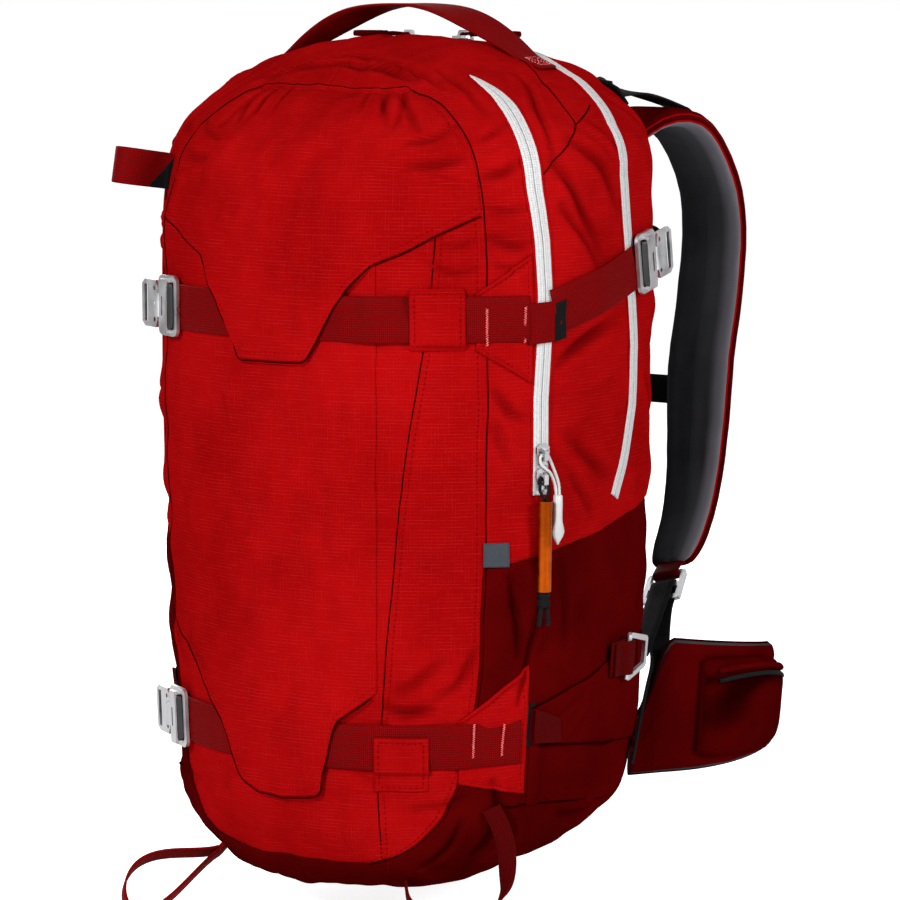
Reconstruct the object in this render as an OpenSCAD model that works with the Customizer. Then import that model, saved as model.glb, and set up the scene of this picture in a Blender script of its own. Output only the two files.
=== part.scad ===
// Ski touring backpack of the thirty litre class.
// The origin is the middle of the lumbar pad where it bears on the wearer.
// +X is to the right when facing the front panel, -Y points away from the wearer and +Z is up.

/* [Bag] */
// Width of the bag at its widest
bag_w = 308; // [270:2:340]
// Depth from the widest section to the front panel
front_d = 134; // [110:2:150]
// Depth from the widest section to the back panel
back_d = 99; // [85:1:115]
// Height of the bag from its base to its hood
bag_h = 530; // [480:2:580]
// Height of the lumbar contact above the base
lumbar_h = 110; // [95:1:125]
// How far the base rises towards the wearer
base_rise = 16; // [0:1:30]
// Thickness of a sewn panel with its lining
wall = 2.4; // [1.6:0.1:3.5]
// Gap left between pieces that are sewn or laid together
seam = 0.4; // [0.3:0.05:0.8]

/* [Straps] */
// Width of the front and side carrying straps
strap_w = 28; // [22:1:32]
// Thickness of the webbing
webbing_t = 1.6; // [1:0.1:2.2]
// Height of the upper front strap above the base
upper_strap_h = 362; // [345:1:380]
// Height of the lower front strap above the base
lower_strap_h = 99; // [90:1:110]
// Width of the narrow webbing of the tool loops
loop_w = 12; // [9:1:15]
// Width of the grab handle
handle_w = 22; // [18:1:28]
// Height of the grab handle above its sewn ends
handle_h = 33; // [28:1:44]

/* [Zips] */
// Width of the coated zip tape
tape_w = 11; // [9:0.5:13]
// Thickness of the zip tape
tape_t = 0.9; // [0.6:0.1:1.4]
// Length of a zip slider
slider_l = 13; // [11:0.5:15]
// Width of a zip slider
slider_w = 9; // [8:0.5:11]
// Diameter of the anodised tube on the front zip
tube_d = 9; // [8:0.5:11]
// Length of the anodised tube
tube_l = 56; // [45:1:65]

/* [Buckles] */
// Thickness of the aluminium buckle plates
plate_t = 2; // [1.6:0.1:2.6]
// Length of a buckle frame along its strap
frame_l = 23; // [21:0.5:26]
// Width of the rails of a buckle frame
rail = 4; // [3.5:0.1:5]
// Length of a catch plate along its strap
catch_l = 25; // [22:1:30]
// Diameter of the hinge bar of a buckle frame
bar_d = 3.6; // [3:0.1:4]

/* [Harness] */
// Width of a shoulder pad
pad_w = 56; // [50:1:66]
// Thickness of a shoulder pad
pad_t = 13; // [10:0.5:16]
// Distance between the middles of the shoulder pads at their tops
pad_gap = 134; // [118:2:146]
// How far the shoulder pads stand off the back panel
pad_reach = 172; // [140:2:186]
// Thickness of the lumbar pad at its crown
lumbar_t = 18; // [14:1:24]
// Thickness of the back pads at their crown
back_pad_t = 14; // [10:1:18]
// Width of the sternum webbing
sternum_w = 20; // [15:1:25]

/* [Hip belt] */
// Height of a hip wing at its root
wing_h = 92; // [80:1:100]
// Thickness of a hip wing
wing_t = 12; // [9:1:16]
// How far a hip wing reaches past the back panel
wing_reach = 140; // [120:2:160]
// Width of the hip webbing
hip_webbing_w = 38; // [30:1:42]

/* [Hidden] */
$fn = 48;

// Colours of the fabrics and fittings
red = [0.62, 0.02, 0.03];
dark_red = [0.26, 0.01, 0.015];
webbing_red = [0.52, 0.02, 0.03];
black = [0.03, 0.03, 0.035];
grey = [0.2, 0.2, 0.22];
white = [0.85, 0.85, 0.84];
silver = [0.75, 0.76, 0.77];
orange = [0.9, 0.38, 0.03];

// Shape of the bag: shares of its height where the ends begin to round
hood_start = 0.852;
hood_front_start = 0.78;
hood_back_start = 0.925;
foot_side_start = 0.11;
foot_front_start = 0.10;
foot_back_start = 0.11;
// Share of the section that is left at the very base
foot_side_keep = 0.60;
foot_front_keep = 0.72;
foot_back_keep = 0.70;
// Roundness of the hood, where 2 is an ellipse
hood_power = 1.9;
// Squareness of the front and back of a level section, where 2 is an ellipse
front_power = 2.2;
back_power = 4.2;
// The front grows sharper towards the top of the hood, from this share of the height
front_top_power = 1.86;
sharpen_start = 0.72;
// How much narrower the bag is at its base, and the height share where that begins
waist_draw = 0.16;
waist_top = 0.6;
// How quickly the rise of the base fades with height
rise_fade = 6;

// Seams as angles around the bag, from +X towards the wearer, and as shares of its height
front_seam = -38;
front_zip_angle = -25.5;
back_seam = 36;
hood_seam = 0.946;
base_seam = 0.026;
lower_seam_front = 0.397;
lower_seam_rear = 0.455;
// Angles of the two zips at shares of the height
front_zip_course = [
    [0.4, -25.5], [0.536, -25.5], [0.588, -25.6], [0.657, -24.7], [0.708, -24.5], [0.772, -25.1], [0.828, -26.5],
    [0.89, -26.8], [0.92, -27], [0.936, -28], [0.949, -30.5], [0.956, -32.5]
];
main_zip_course = [
    [0.4, -3], [0.456, 0.5], [0.505, 5.5], [0.566, 9], [0.638, 9.8], [0.703, 8.2], [0.751, 6.8], [0.805, 5],
    [0.852, 3.6], [0.9, 4.6], [0.93, 9], [0.95, 14]
];

// Heights of layers above the bag's surface
tape_lift = seam;
strap_lift = tape_lift + tape_t + seam;
cover_lift = strap_lift + webbing_t + seam;
cover_t = 1.6;

base_z = -lumbar_h;

// Small vector helpers
function unit(v) = v / norm(v);
function mix(a, b, s) = a + (b - a) * s;
function ease(s) = (1 - cos(180 * s)) / 2;
function flip(p) = [-p[0], p[1], p[2]];
function last(list) = list[len(list) - 1];

// Curve through points, with steps samples between each pair
function bend(p, i, s) =
    let (n = len(p) - 1, a = p[max(i - 1, 0)], b = p[i], c = p[i + 1], d = p[min(i + 2, n)])
    0.5 * (2 * b + (c - a) * s + (2 * a - 5 * b + 4 * c - d) * s * s
        + (3 * b - a - 3 * c + d) * s * s * s);
function curve(p, steps) = [
    for (i = [0 : len(p) - 2]) for (k = [0 : steps - 1]) bend(p, i, k / steps), last(p)
];
function heading(p, i) = unit(p[min(i + 1, len(p) - 1)] - p[max(i - 1, 0)]);

// Surface of the bag at an angle and a share of the height
function dome(s, power) = pow(max(0, 1 - pow(s, power)), 1 / power);
function top_round(t, start) = t <= start ? 1 : dome((t - start) / (1 - start), hood_power);
function foot_round(t, start, keep) =
    t >= start ? 1 : keep + (1 - keep) * sqrt(1 - pow(1 - t / start, 2));
function waist(t) = 1 - waist_draw * pow(max(0, 1 - t / waist_top), 2);
function half_w(t) =
    bag_w / 2 * waist(t) * top_round(t, hood_start) * foot_round(t, foot_side_start, foot_side_keep);
function half_front(t) =
    front_d * top_round(t, hood_front_start) * foot_round(t, foot_front_start, foot_front_keep);
function half_back(t) =
    back_d * top_round(t, hood_back_start) * foot_round(t, foot_back_start, foot_back_keep);
function front_power_at(t) =
    mix(front_power, front_top_power, max(0, (t - sharpen_start) / (1 - sharpen_start)));
function reach(a, t) =
    let (d = sin(a) < 0 ? half_front(t) : half_back(t), n = sin(a) < 0 ? front_power_at(t) : back_power)
    pow(pow(abs(cos(a)) / half_w(t), n) + pow(abs(sin(a)) / d, n), -1 / n);
axis_y = -lumbar_t - seam - half_back(lumbar_h / bag_h);
function bag(a, t) =
    let (r = reach(a, t), y = r * sin(a))
    [
        r * cos(a),
        axis_y + y,
        base_z + bag_h * t + base_rise * pow(1 - t, rise_fade) * (y / (front_d + back_d) + 0.5)
    ];
// Steps in degrees and in height share for measuring a slope
slope_a = 0.2;
slope_t = 0.0006;
// Highest share of the height where a slope can be measured
slope_top = 0.9998;
function bag_normal(a, t) =
    unit(cross(
        bag(a + slope_a, t) - bag(a - slope_a, t),
        bag(a, min(t + slope_t, slope_top)) - bag(a, max(t - slope_t, 0))
    ));
function lifted(a, t, h) = bag(a, t) + bag_normal(a, t) * h;

// Angle on the front or back of the bag at a distance x from its middle
function side_angle(x, t, face, low = 0, high = 90, n = 24) =
    let (m = (low + high) / 2)
    n == 0 ? face * m : reach(m * face, t) * cos(m) > x
        ? side_angle(x, t, face, m, high, n - 1) : side_angle(x, t, face, low, m, n - 1);

// Solids from grids of points
function signed_volume(p, faces) = [
    for (f = faces) cross(p[f[0]], p[f[1]]) * p[f[2]]
] * [for (f = faces) 1];
function outward(p, faces) =
    signed_volume(p, faces) < 0 ? faces : [for (f = faces) [f[2], f[1], f[0]]];
function flat_list(rows) = [for (r = rows) for (p = r) p];
function quad(a, b, c, d) = [[a, b, c], [a, c, d]];
module solid(p, faces) polyhedron(p, outward(p, faces), convexity = 6);

// A thick sheet between two grids of the same size
module slab(outer, inner) {
    rows = len(outer);
    cols = len(outer[0]);
    base = rows * cols;
    faces = [
        for (j = [0 : rows - 2]) for (i = [0 : cols - 2]) let (k = j * cols + i)
            each concat(
                quad(k, k + 1, k + 1 + cols, k + cols),
                quad(base + k, base + k + cols, base + k + cols + 1, base + k + 1)),
        for (i = [0 : cols - 2]) let (k = i, m = (rows - 1) * cols + i)
            each concat(
                quad(k, base + k, base + k + 1, k + 1),
                quad(m, m + 1, base + m + 1, base + m)),
        for (j = [0 : rows - 2]) let (k = j * cols, m = j * cols + cols - 1)
            each concat(
                quad(k, k + cols, base + k + cols, base + k),
                quad(m, base + m, base + m + cols, m + cols))
    ];
    solid(concat(flat_list(outer), flat_list(inner)), faces);
}

// A tube of closed rings with flat ends
module skin(rings) {
    n = len(rings);
    m = len(rings[0]);
    end = (n - 1) * m;
    faces = [
        for (j = [0 : n - 2]) for (i = [0 : m - 1])
            let (a = j * m + i, b = j * m + (i + 1) % m) each quad(a, b, b + m, a + m),
        for (i = [1 : m - 2]) [0, i + 1, i],
        for (i = [1 : m - 2]) [end, end + i, end + i + 1]
    ];
    solid(flat_list(rings), faces);
}

// A shell that closes over the hood or under the base
module bowl(outer, inner) {
    rows = len(outer);
    cols = len(outer[0]);
    base = rows * cols;
    tip = (rows - 1) * cols;
    faces = [
        for (j = [0 : rows - 2]) for (i = [0 : cols - 1])
            let (a = j * cols + i, b = j * cols + (i + 1) % cols)
            each concat(
                quad(a, b, b + cols, a + cols),
                quad(base + a, base + a + cols, base + b + cols, base + b)),
        for (i = [0 : cols - 1]) let (b = (i + 1) % cols) each quad(i, base + i, base + b, b),
        for (i = [1 : cols - 2]) each [
            [tip, tip + i, tip + i + 1], [base + tip, base + tip + i + 1, base + tip + i]
        ]
    ];
    solid(concat(flat_list(outer), flat_list(inner)), faces);
}

// A sewn panel of the bag between two angles and two heights, which may vary with the angle
seam_angle = seam / bag_w * 180 / PI;
seam_level = seam / 2 / bag_h;
// An edge is an angle, or a function of the share of the panel's height
function edge_at(e, v) = is_function(e) ? e(v) : e;
function panel_grid(a0, a1, low, high, lift, cols, rows) = [
    for (j = [0 : rows]) [
        for (i = [0 : cols])
            let (
                a = mix(edge_at(a0, j / rows) + seam_angle, edge_at(a1, j / rows) - seam_angle, i / cols),
                t = mix(low(a) + seam_level, high(a) - seam_level, ease(j / rows)))
            lifted(a, t, lift(i / cols, j / rows))
    ]
];
module panel(a0, a1, low, high, inner, outer, cols, rows)
    slab(panel_grid(a0, a1, low, high, outer, cols, rows), panel_grid(a0, a1, low, high, inner, cols, rows));
function always(v) = function(a) v;
function thick(v) = function(u, v2) v;
// Crown of a padded piece that is drawn in at its edges
function crown(edge, full) = function(u, v)
    edge + (full - edge) * pow((1 - pow(abs(2 * u - 1), 4)) * (1 - pow(abs(2 * v - 1), 6)), 0.5);

// A strip laid on the bag along a path of angles and heights
function strip_rings(path, profile) =
    let (p = [for (q = path) bag(q[0], q[1])])
    [
        for (i = [0 : len(path) - 1])
            let (n = bag_normal(path[i][0], path[i][1]), side = unit(cross(n, heading(p, i))))
            [for (c = profile) p[i] + side * c[0] + n * c[1]]
    ];
function flat_profile(w, low, high) = [[-w / 2, low], [w / 2, low], [w / 2, high], [-w / 2, high]];

// A flat band through space, with the direction of its width at each point
function band_rings(p, sides, w, t) = [
    for (i = [0 : len(p) - 1])
        let (
            h = heading(p, i),
            s = unit(sides[i] - h * (h * sides[i])),
            n = cross(h, s))
        [p[i] - s * w / 2 - n * t / 2, p[i] + s * w / 2 - n * t / 2,
            p[i] + s * w / 2 + n * t / 2, p[i] - s * w / 2 + n * t / 2]
];
module band(p, side, w, t) skin(band_rings(p, [for (q = p) side], w, t));

// A round cord through points
function cord_rings(p, d, n) = [
    for (i = [0 : len(p) - 1])
        let (h = heading(p, i), s = unit(cross(h, abs(h[2]) < 0.9 ? [0, 0, 1] : [0, 1, 0])), u = cross(h, s))
        [for (k = [0 : n - 1]) p[i] + (s * cos(360 * k / n) + u * sin(360 * k / n)) * d / 2]
];

// Places what follows on the bag: x along the strap, y up, z out
module on_bag(a, t, lift = 0, turn = 0) {
    n = bag_normal(a, t);
    x = unit(cross([0, 0, 1], n));
    y = cross(n, x);
    p = bag(a, t) + n * lift;
    multmatrix([
        [x[0], y[0], n[0], p[0]], [x[1], y[1], n[1], p[1]], [x[2], y[2], n[2], p[2]], [0, 0, 0, 1]
    ]) rotate([0, 0, turn]) children();
}
module both_sides() {
    children();
    mirror([1, 0, 0]) children();
}

// Panels of the bag

lower_seam = function(a)
    mix(lower_seam_front, lower_seam_rear,
        (a - front_seam) / (back_seam - front_seam));
in_wall = thick(-wall);
on_skin = thick(0);

module front_panel() color(red)
    panel(-180 - front_seam, front_seam, always(base_seam), always(hood_seam), in_wall, on_skin, 16, 16);

ring_count = 40;
function ring_at(t, lift) = [for (i = [0 : ring_count - 1]) lifted(360 * i / ring_count, t, lift)];
// Share of the hood's last ring, just short of the point where it would close
hood_tip = 0.9990;
hood_rows = 7;
module hood() color(red) {
    levels = [for (j = [0 : hood_rows]) mix(hood_seam + seam_level, hood_tip, sin(90 * j / hood_rows))];
    bowl([for (t = levels) ring_at(t, 0)], [for (t = levels) ring_at(t, -wall)]);
}
base_rows = 5;
module base_panel() color(dark_red) {
    levels = [for (j = [0 : base_rows]) (base_seam - seam_level) * (1 - sin(90 * j / base_rows))];
    bowl([for (t = levels) ring_at(t, 0)], [for (t = levels) ring_at(t, -wall)]);
}
// Edges of the gussets along the zips
function zip_edge(course) = function(v)
    lookup(mix((lower_seam_front + lower_seam_rear) / 2, hood_seam, ease(v)), course);
front_zip_edge = zip_edge(front_zip_course);
main_zip_edge = zip_edge(main_zip_course);
module front_gussets() color(red) both_sides()
    panel(front_seam, front_zip_edge, lower_seam, always(hood_seam), in_wall, on_skin, 3, 16);
module main_gussets() color(red) both_sides()
    panel(front_zip_edge, main_zip_edge, lower_seam, always(hood_seam), in_wall, on_skin, 5, 16);
module rear_gussets() color(red) both_sides()
    panel(main_zip_edge, back_seam, lower_seam, always(hood_seam), in_wall, on_skin, 4, 16);
module lower_side_panels() color(dark_red) both_sides()
    panel(front_seam, back_seam, always(base_seam), lower_seam, in_wall, on_skin, 10, 10);
module back_panel() color(black)
    panel(back_seam, 180 - back_seam, always(base_seam), always(hood_seam), in_wall, on_skin, 12, 14);

// Inside the bag

divider_t = 1.5;
divider_low = 0.08;
divider_high = 0.93;
divider_rows = 12;
divider_cols = 6;
function divider_grid(dy) = [
    for (j = [0 : divider_rows])
        let (
            t = mix(divider_low, divider_high, ease(j / divider_rows)),
            e = lifted(front_zip_angle, t, -wall - seam * 3)
        )
        [for (i = [0 : divider_cols]) let (s = i / divider_cols) mix(flip(e), e, s) + [0, dy, 0]]
];
module tool_divider() color(grey) slab(divider_grid(0), divider_grid(divider_t));

sheet_t = 1.5;
sheet_lift = -wall - seam;
sheet_edge = 52;
sheet_low = 0.13;
sheet_high = 0.86;
module frame_sheet() color(black)
    panel(sheet_edge, 180 - sheet_edge, always(sheet_low), always(sheet_high),
        thick(sheet_lift - sheet_t), thick(sheet_lift), 10, 10);

stay_w = 12;
stay_t = 3;
stay_angle = 66;
stay_steps = 12;
module frame_stays() color(silver) both_sides()
    skin(strip_rings(
        [for (i = [0 : stay_steps]) [stay_angle, mix(sheet_low, sheet_high, i / stay_steps)]],
        flat_profile(stay_w, sheet_lift - sheet_t - seam - stay_t, sheet_lift - sheet_t - seam)));

// Padding on the wearer's side

pad_inner = 79;
pad_outer = 46;
pads_low = 0.34;
pads_high = 0.775;
pad_edge_t = 4;
module back_pads() color(grey) both_sides()
    panel(pad_outer, pad_inner, always(pads_low), always(pads_high),
        thick(seam), crown(pad_edge_t, back_pad_t), 8, 14);
lumbar_edge = 50;
lumbar_low = 0.105;
lumbar_high = 0.315;
module lumbar_pad() color(grey)
    panel(lumbar_edge, 180 - lumbar_edge, always(lumbar_low), always(lumbar_high),
        thick(seam), crown(pad_edge_t, lumbar_t + seam), 12, 8);

// Zips

zip_low = 0.483;
zip_profile = [
    [-tape_w / 2, tape_lift],
    [tape_w / 2, tape_lift],
    [tape_w / 2, tape_lift + tape_t * 0.6],
    [tape_w / 4, tape_lift + tape_t],
    [-tape_w / 4, tape_lift + tape_t],
    [-tape_w / 2, tape_lift + tape_t * 0.6]
];
zip_steps = 24;
front_zip_top = 0.955;
function front_zip_path() = [
    for (i = [0 : zip_steps]) let (t = mix(zip_low, front_zip_top, i / zip_steps))
        [lookup(t, front_zip_course), t]
];
module front_zip() color(white) both_sides() skin(strip_rings(front_zip_path(), zip_profile));

// The main zip climbs the side, turns over the hood behind the handle and comes down the other side
main_zip_low = 0.462;
main_zip_turn = 0.95;
main_zip_crest = 0.9925;
main_zip_turn_angle = lookup(main_zip_turn, main_zip_course);
main_zip_steps = 28;
function main_zip_half() = concat(
    [for (i = [0 : main_zip_steps - 1]) let (t = mix(main_zip_low, main_zip_turn, i / main_zip_steps))
        [lookup(t, main_zip_course), t]],
    [for (i = [0 : main_zip_steps]) let (s = i / main_zip_steps)
        [mix(main_zip_turn_angle, 90, s * s), mix(main_zip_turn, main_zip_crest, sin(90 * s))]]);
function main_zip_path() =
    let (half = main_zip_half(), n = len(half))
    concat(half, [for (i = [n - 2 : -1 : 0]) [180 - half[i][0], half[i][1]]]);
module main_zip() color(white) skin(strip_rings(main_zip_path(), zip_profile));

// Carrying straps and their hook buckles
// A buckle is drawn around its hinge bar: x towards its strap, y along the bar, z away from the bag

frame_gap = 1;
frame_h = strap_w + 2 * frame_gap + 2 * rail;
frame_t = 2.2;
slot_l = 5;
slot_mid = frame_l - rail - slot_l / 2;
window_end = slot_mid - slot_l / 2 - rail;
rail_mid = window_end + rail / 2;
corner_r = 5;
// Height of a folded webbing's two runs above and below the rail it is looped on
fold_z = frame_t / 2 + seam * 1.6 + webbing_t / 2;
fold_z_plate = plate_t / 2 + seam * 1.6 + webbing_t / 2;
buckle_lift = strap_lift + webbing_t / 2 + fold_z;

// Angles where the straps leave the bag for their buckles
left_buckle_angle = -128;
rear_buckle_angle = 8;
upper_level = upper_strap_h / bag_h;
lower_level = lower_strap_h / bag_h;
// The side strap climbs from the front strap to the buckle by the back panel
side_climb = 26;
side_tilt = 10;
rear_level = (upper_strap_h + side_climb) / bag_h;
front_strap_end = -29;
side_strap_start = -22.4;

// Frame of axes of a buckle: its hinge bar's middle, x, y and z
function buckle_axes(a, t, side, tilt) =
    let (
        n = bag_normal(a, t),
        x0 = unit(cross([0, 0, 1], n)) * side,
        y0 = cross(n, x0),
        x = x0 * cos(tilt) + y0 * sin(tilt),
        y = cross(n, x))
    [bag(a, t) + n * buckle_lift - x * (frame_l + seam), x, y, n];
upper_left_axes = buckle_axes(left_buckle_angle, upper_level, 1, 0);
lower_left_axes = buckle_axes(left_buckle_angle, lower_level, 1, 0);
rear_right_axes = buckle_axes(rear_buckle_angle, rear_level, -1, side_tilt);
function in_axes(f, p) = f[0] + f[1] * p[0] + f[2] * p[1] + f[3] * p[2];
module at_axes(f) multmatrix([
    [f[1][0], f[2][0], f[3][0], f[0][0]], [f[1][1], f[2][1], f[3][1], f[0][1]],
    [f[1][2], f[2][2], f[3][2], f[0][2]], [0, 0, 0, 1]
]) children();

module round_rect(x0, x1, h, r) translate([(x0 + x1) / 2, 0]) {
    square([x1 - x0 - 2 * r, h], center = true);
    square([x1 - x0, h - 2 * r], center = true);
    for (x = [-1, 1]) for (y = [-1, 1]) translate([x * ((x1 - x0) / 2 - r), y * (h / 2 - r)]) circle(r);
}

window_r = 1.5;
cover_z = fold_z + webbing_t / 2 + seam;
cover_plate_t = 1.3;
cover_from = 6.6;
cover_to = 15.4;
cheek_t = 2;
cover_h = strap_w + 2 * frame_gap + 2 * cheek_t;
cover_slot_l = 12;
module buckle_frame() color(silver) {
    linear_extrude(frame_t, center = true) difference() {
        round_rect(-bar_d / 2, frame_l, frame_h, corner_r);
        round_rect(bar_d / 2, window_end, frame_h - 2 * rail, window_r);
        round_rect(slot_mid - slot_l / 2, slot_mid + slot_l / 2, frame_h - 2 * rail, window_r);
    }
    rotate([90, 0, 0]) cylinder(h = frame_h - 2 * corner_r, d = bar_d, center = true);
    // Cover over the webbing's turn, carried on two cheeks
    translate([0, 0, cover_z]) linear_extrude(cover_plate_t) difference() {
        round_rect(cover_from, cover_to, cover_h, window_r);
        translate([mix(cover_from, cover_to, 0.42), 0]) square([1.6, cover_slot_l], center = true);
    }
    for (s = [-1, 1]) translate([cover_from, s * (cover_h / 2 - cheek_t / 2) - cheek_t / 2, 0])
        cube([cover_to - cover_from, cheek_t, cover_z + cover_plate_t / 2]);
}

hook_clear = 0.4;
hook_in = bar_d / 2 + hook_clear;
hook_out = hook_in + plate_t;
hook_w = 15;
catch_w = 30;
catch_tip_w = 24;
catch_slot_l = 4.6;
catch_rail = 3.2;
catch_slot_mid = -catch_l + catch_rail + catch_slot_l / 2;
hole_d = 3;
hole_y = 10;
module catch_plate() color(silver) {
    linear_extrude(plate_t, center = true) difference() {
        polygon([
            [-hook_out + plate_t / 2, -hook_w / 2], [-hook_out + plate_t / 2, hook_w / 2],
            [-hook_out - 2, catch_w / 2], [-catch_l + 4, catch_w / 2], [-catch_l, catch_tip_w / 2],
            [-catch_l, -catch_tip_w / 2], [-catch_l + 4, -catch_w / 2], [-hook_out - 2, -catch_w / 2]
        ]);
        translate([catch_slot_mid, 0]) square([catch_slot_l, catch_w - 2 * catch_rail], center = true);
        for (s = [-1, 1]) translate([-hook_out - 3.5, s * hole_y]) circle(d = hole_d);
    }
    translate([-hook_out - 3.6, 0, plate_t / 2]) cylinder(h = 1, d = 2.4);
    rotate([90, 0, 0]) linear_extrude(hook_w, center = true) difference() {
        circle(hook_out);
        circle(hook_in);
        polygon(hook_out * [[0, 0], [1.6, -0.5], [1, -2], [-0.4, -2]]);
    }
}
module catch_plates() {
    at_axes(upper_left_axes) catch_plate();
    at_axes(lower_left_axes) catch_plate();
    at_axes(rear_right_axes) catch_plate();
}
module upper_left_frame() at_axes(upper_left_axes) buckle_frame();
module lower_left_frame() at_axes(lower_left_axes) buckle_frame();
module rear_right_frame() at_axes(rear_right_axes) buckle_frame();

// Webbing folded over a rail: it comes in below, turns up round the rail and tucks in behind it
function fold_path(rail_x, half, z, dir) =
    let (turn = rail_x - dir * (half + seam + webbing_t / 2), soft = z * 0.55)
    [for (q = [
        [turn + dir * (z - soft) * 0.9, -z], [turn + dir * 0.25, -soft], [turn, 0], [turn + dir * 0.25, soft],
        [turn + dir * (z - soft) * 0.9, z], [rail_x + dir * half, z],
        [rail_x + dir * (half + 2.3), z * 0.5],
        [rail_x + dir * (half + 3.4), -z * 0.1]
    ]) [q[0], 0, q[1]]];

// A strap that runs on the bag from one angle to another and folds over a buckle's rail
function strap_points(f, from, to, t_from, t_to, steps) = concat(
    [for (i = [0 : steps]) let (s = i / steps)
        lifted(mix(from, to, s), mix(t_from, t_to, s), strap_lift + webbing_t / 2)],
    [for (q = fold_path(rail_mid, rail / 2, fold_z, 1)) in_axes(f, q)]);
function strap_sides(f, from, to, t_from, t_to, steps) = concat(
    [for (i = [0 : steps]) let (s = i / steps, a = mix(from, to, s), n = bag_normal(a, mix(t_from, t_to, s)))
        unit(cross(n, cross([0, 0, 1], n)))],
    [for (q = fold_path(rail_mid, rail / 2, fold_z, 1)) f[2]]);
module buckle_strap(f, from, to, t_from, t_to, steps) {
    p = strap_points(f, from, to, t_from, t_to, steps);
    skin(band_rings(p, strap_sides(f, from, to, t_from, t_to, steps), strap_w, webbing_t));
}
// Angle on the bag where a strap's straight run to its buckle begins
strap_free = 4;
module upper_front_strap() color(webbing_red)
    buckle_strap(
        upper_left_axes, front_strap_end, left_buckle_angle + strap_free, upper_level, upper_level, 26
    );
lower_strap_end = -29;
module lower_front_strap() color(webbing_red)
    buckle_strap(
        lower_left_axes, lower_strap_end, left_buckle_angle + strap_free, lower_level, lower_level, 26
    );
module right_side_strap() color(webbing_red)
    buckle_strap(rear_right_axes, side_strap_start, rear_buckle_angle - strap_free, upper_level + 0.006,
        rear_level - 0.008, 10);

// Tabs that the straps are sewn to, keepers and covers over the straps
function x_angle(x, t) = side_angle(x, t, -1);
tab_t = tape_t;
function slant(a0, v0, a1, v1) = function(a) mix(v0, v1, (a - a0) / (a1 - a0));
// A slanting edge that runs level from its second angle on
function levelling(a0, v0, a1, v1) = function(a) mix(v0, v1, min(1, (a - a0) / (a1 - a0)));
upper_tab_front = -41.4;
upper_tab_rear = -27.8;
lower_tab_front = -45;
lower_tab_rear = -27;
module strap_tabs() color(red) {
    panel(upper_tab_front, upper_tab_rear,
        slant(upper_tab_front, upper_level - 0.035, upper_tab_rear, upper_level - 0.076),
        slant(upper_tab_front, upper_level + 0.03, upper_tab_rear, upper_level + 0.073),
        thick(tape_lift), thick(tape_lift + tab_t), 4, 6);
    panel(lower_tab_front, lower_tab_rear,
        slant(lower_tab_front, lower_level - 0.045, lower_tab_rear, lower_level - 0.066),
        slant(lower_tab_front, lower_level + 0.03, lower_tab_rear, lower_level + 0.09),
        thick(tape_lift), thick(tape_lift + tab_t), 5, 6);
}
keeper_front = -57;
keeper_rear = -44;
low_keeper_front = -66;
low_keeper_rear = -52.5;
keeper_h = strap_w + 6;
module strap_keepers() color(red) {
    panel(
        keeper_front, keeper_rear,
        always(upper_level - keeper_h / 2 / bag_h), always(upper_level + keeper_h / 2 / bag_h),
        thick(cover_lift), thick(cover_lift + cover_t), 4, 4
    );
    panel(low_keeper_front, low_keeper_rear, always(lower_level - 0.052), always(lower_level + 0.012),
        thick(cover_lift), thick(cover_lift + cover_t), 4, 4);
}
// A cover's lower edge is straight in the middle and climbs to its upper corners
function cover_edge(mid, low, high, half_mid, half_end) = function(a)
    let (x = abs(bag(a, mid)[0]))
    x <= half_mid ? low : mix(low, high, min(1, (x - half_mid) / (half_end - half_mid)));
module cover(low, high, half_low, half_high) {
    mid = (low + high) / 2;
    a = x_angle(half_high, mid);
    panel(-180 - a, a, cover_edge(mid, low, high - 0.012, half_low, half_high), always(high),
        thick(cover_lift), thick(cover_lift + cover_t), 14, 6);
}
upper_cover_low = upper_level - 0.042;
upper_cover_high = upper_level + 0.068;
upper_cover_half_low = 29;
upper_cover_half_high = 64;
module upper_strap_cover() color(red)
    cover(upper_cover_low, upper_cover_high, upper_cover_half_low, upper_cover_half_high);
lower_cover_low = lower_level - 0.083;
lower_cover_high = lower_level + 0.045;
lower_cover_half_low = 27;
lower_cover_half_high = 54;
module lower_strap_cover() color(red)
    cover(lower_cover_low, lower_cover_high, lower_cover_half_low, lower_cover_half_high);

// Padded fins that join the hip wings to the sides of the bag
fin_front = -26;
fin_bend = 11;
fin_rear = 33;
fin_low_front = 0.105;
fin_low_rear = 0.06;
fin_high_front = 0.222;
fin_high_rear = 0.272;
fin_t = 3.2;
module hip_fins() color(dark_red) both_sides()
    panel(fin_front, fin_rear, levelling(fin_front, fin_low_front, fin_bend, fin_low_rear),
        levelling(fin_front, fin_high_front, fin_bend, fin_high_rear),
        thick(seam * 1.6), crown(1.4, fin_t), 12, 6);

label_angle = -36.5;
label_level = 0.411;
label_w = 15;
label_h = 15;
module side_label() color(grey)
    skin(strip_rings(
        [for (s = [0, 0.5, 1]) [label_angle, label_level + (s - 0.5) * label_h / bag_h]],
        flat_profile(label_w, seam, seam + 0.8)));

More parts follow.
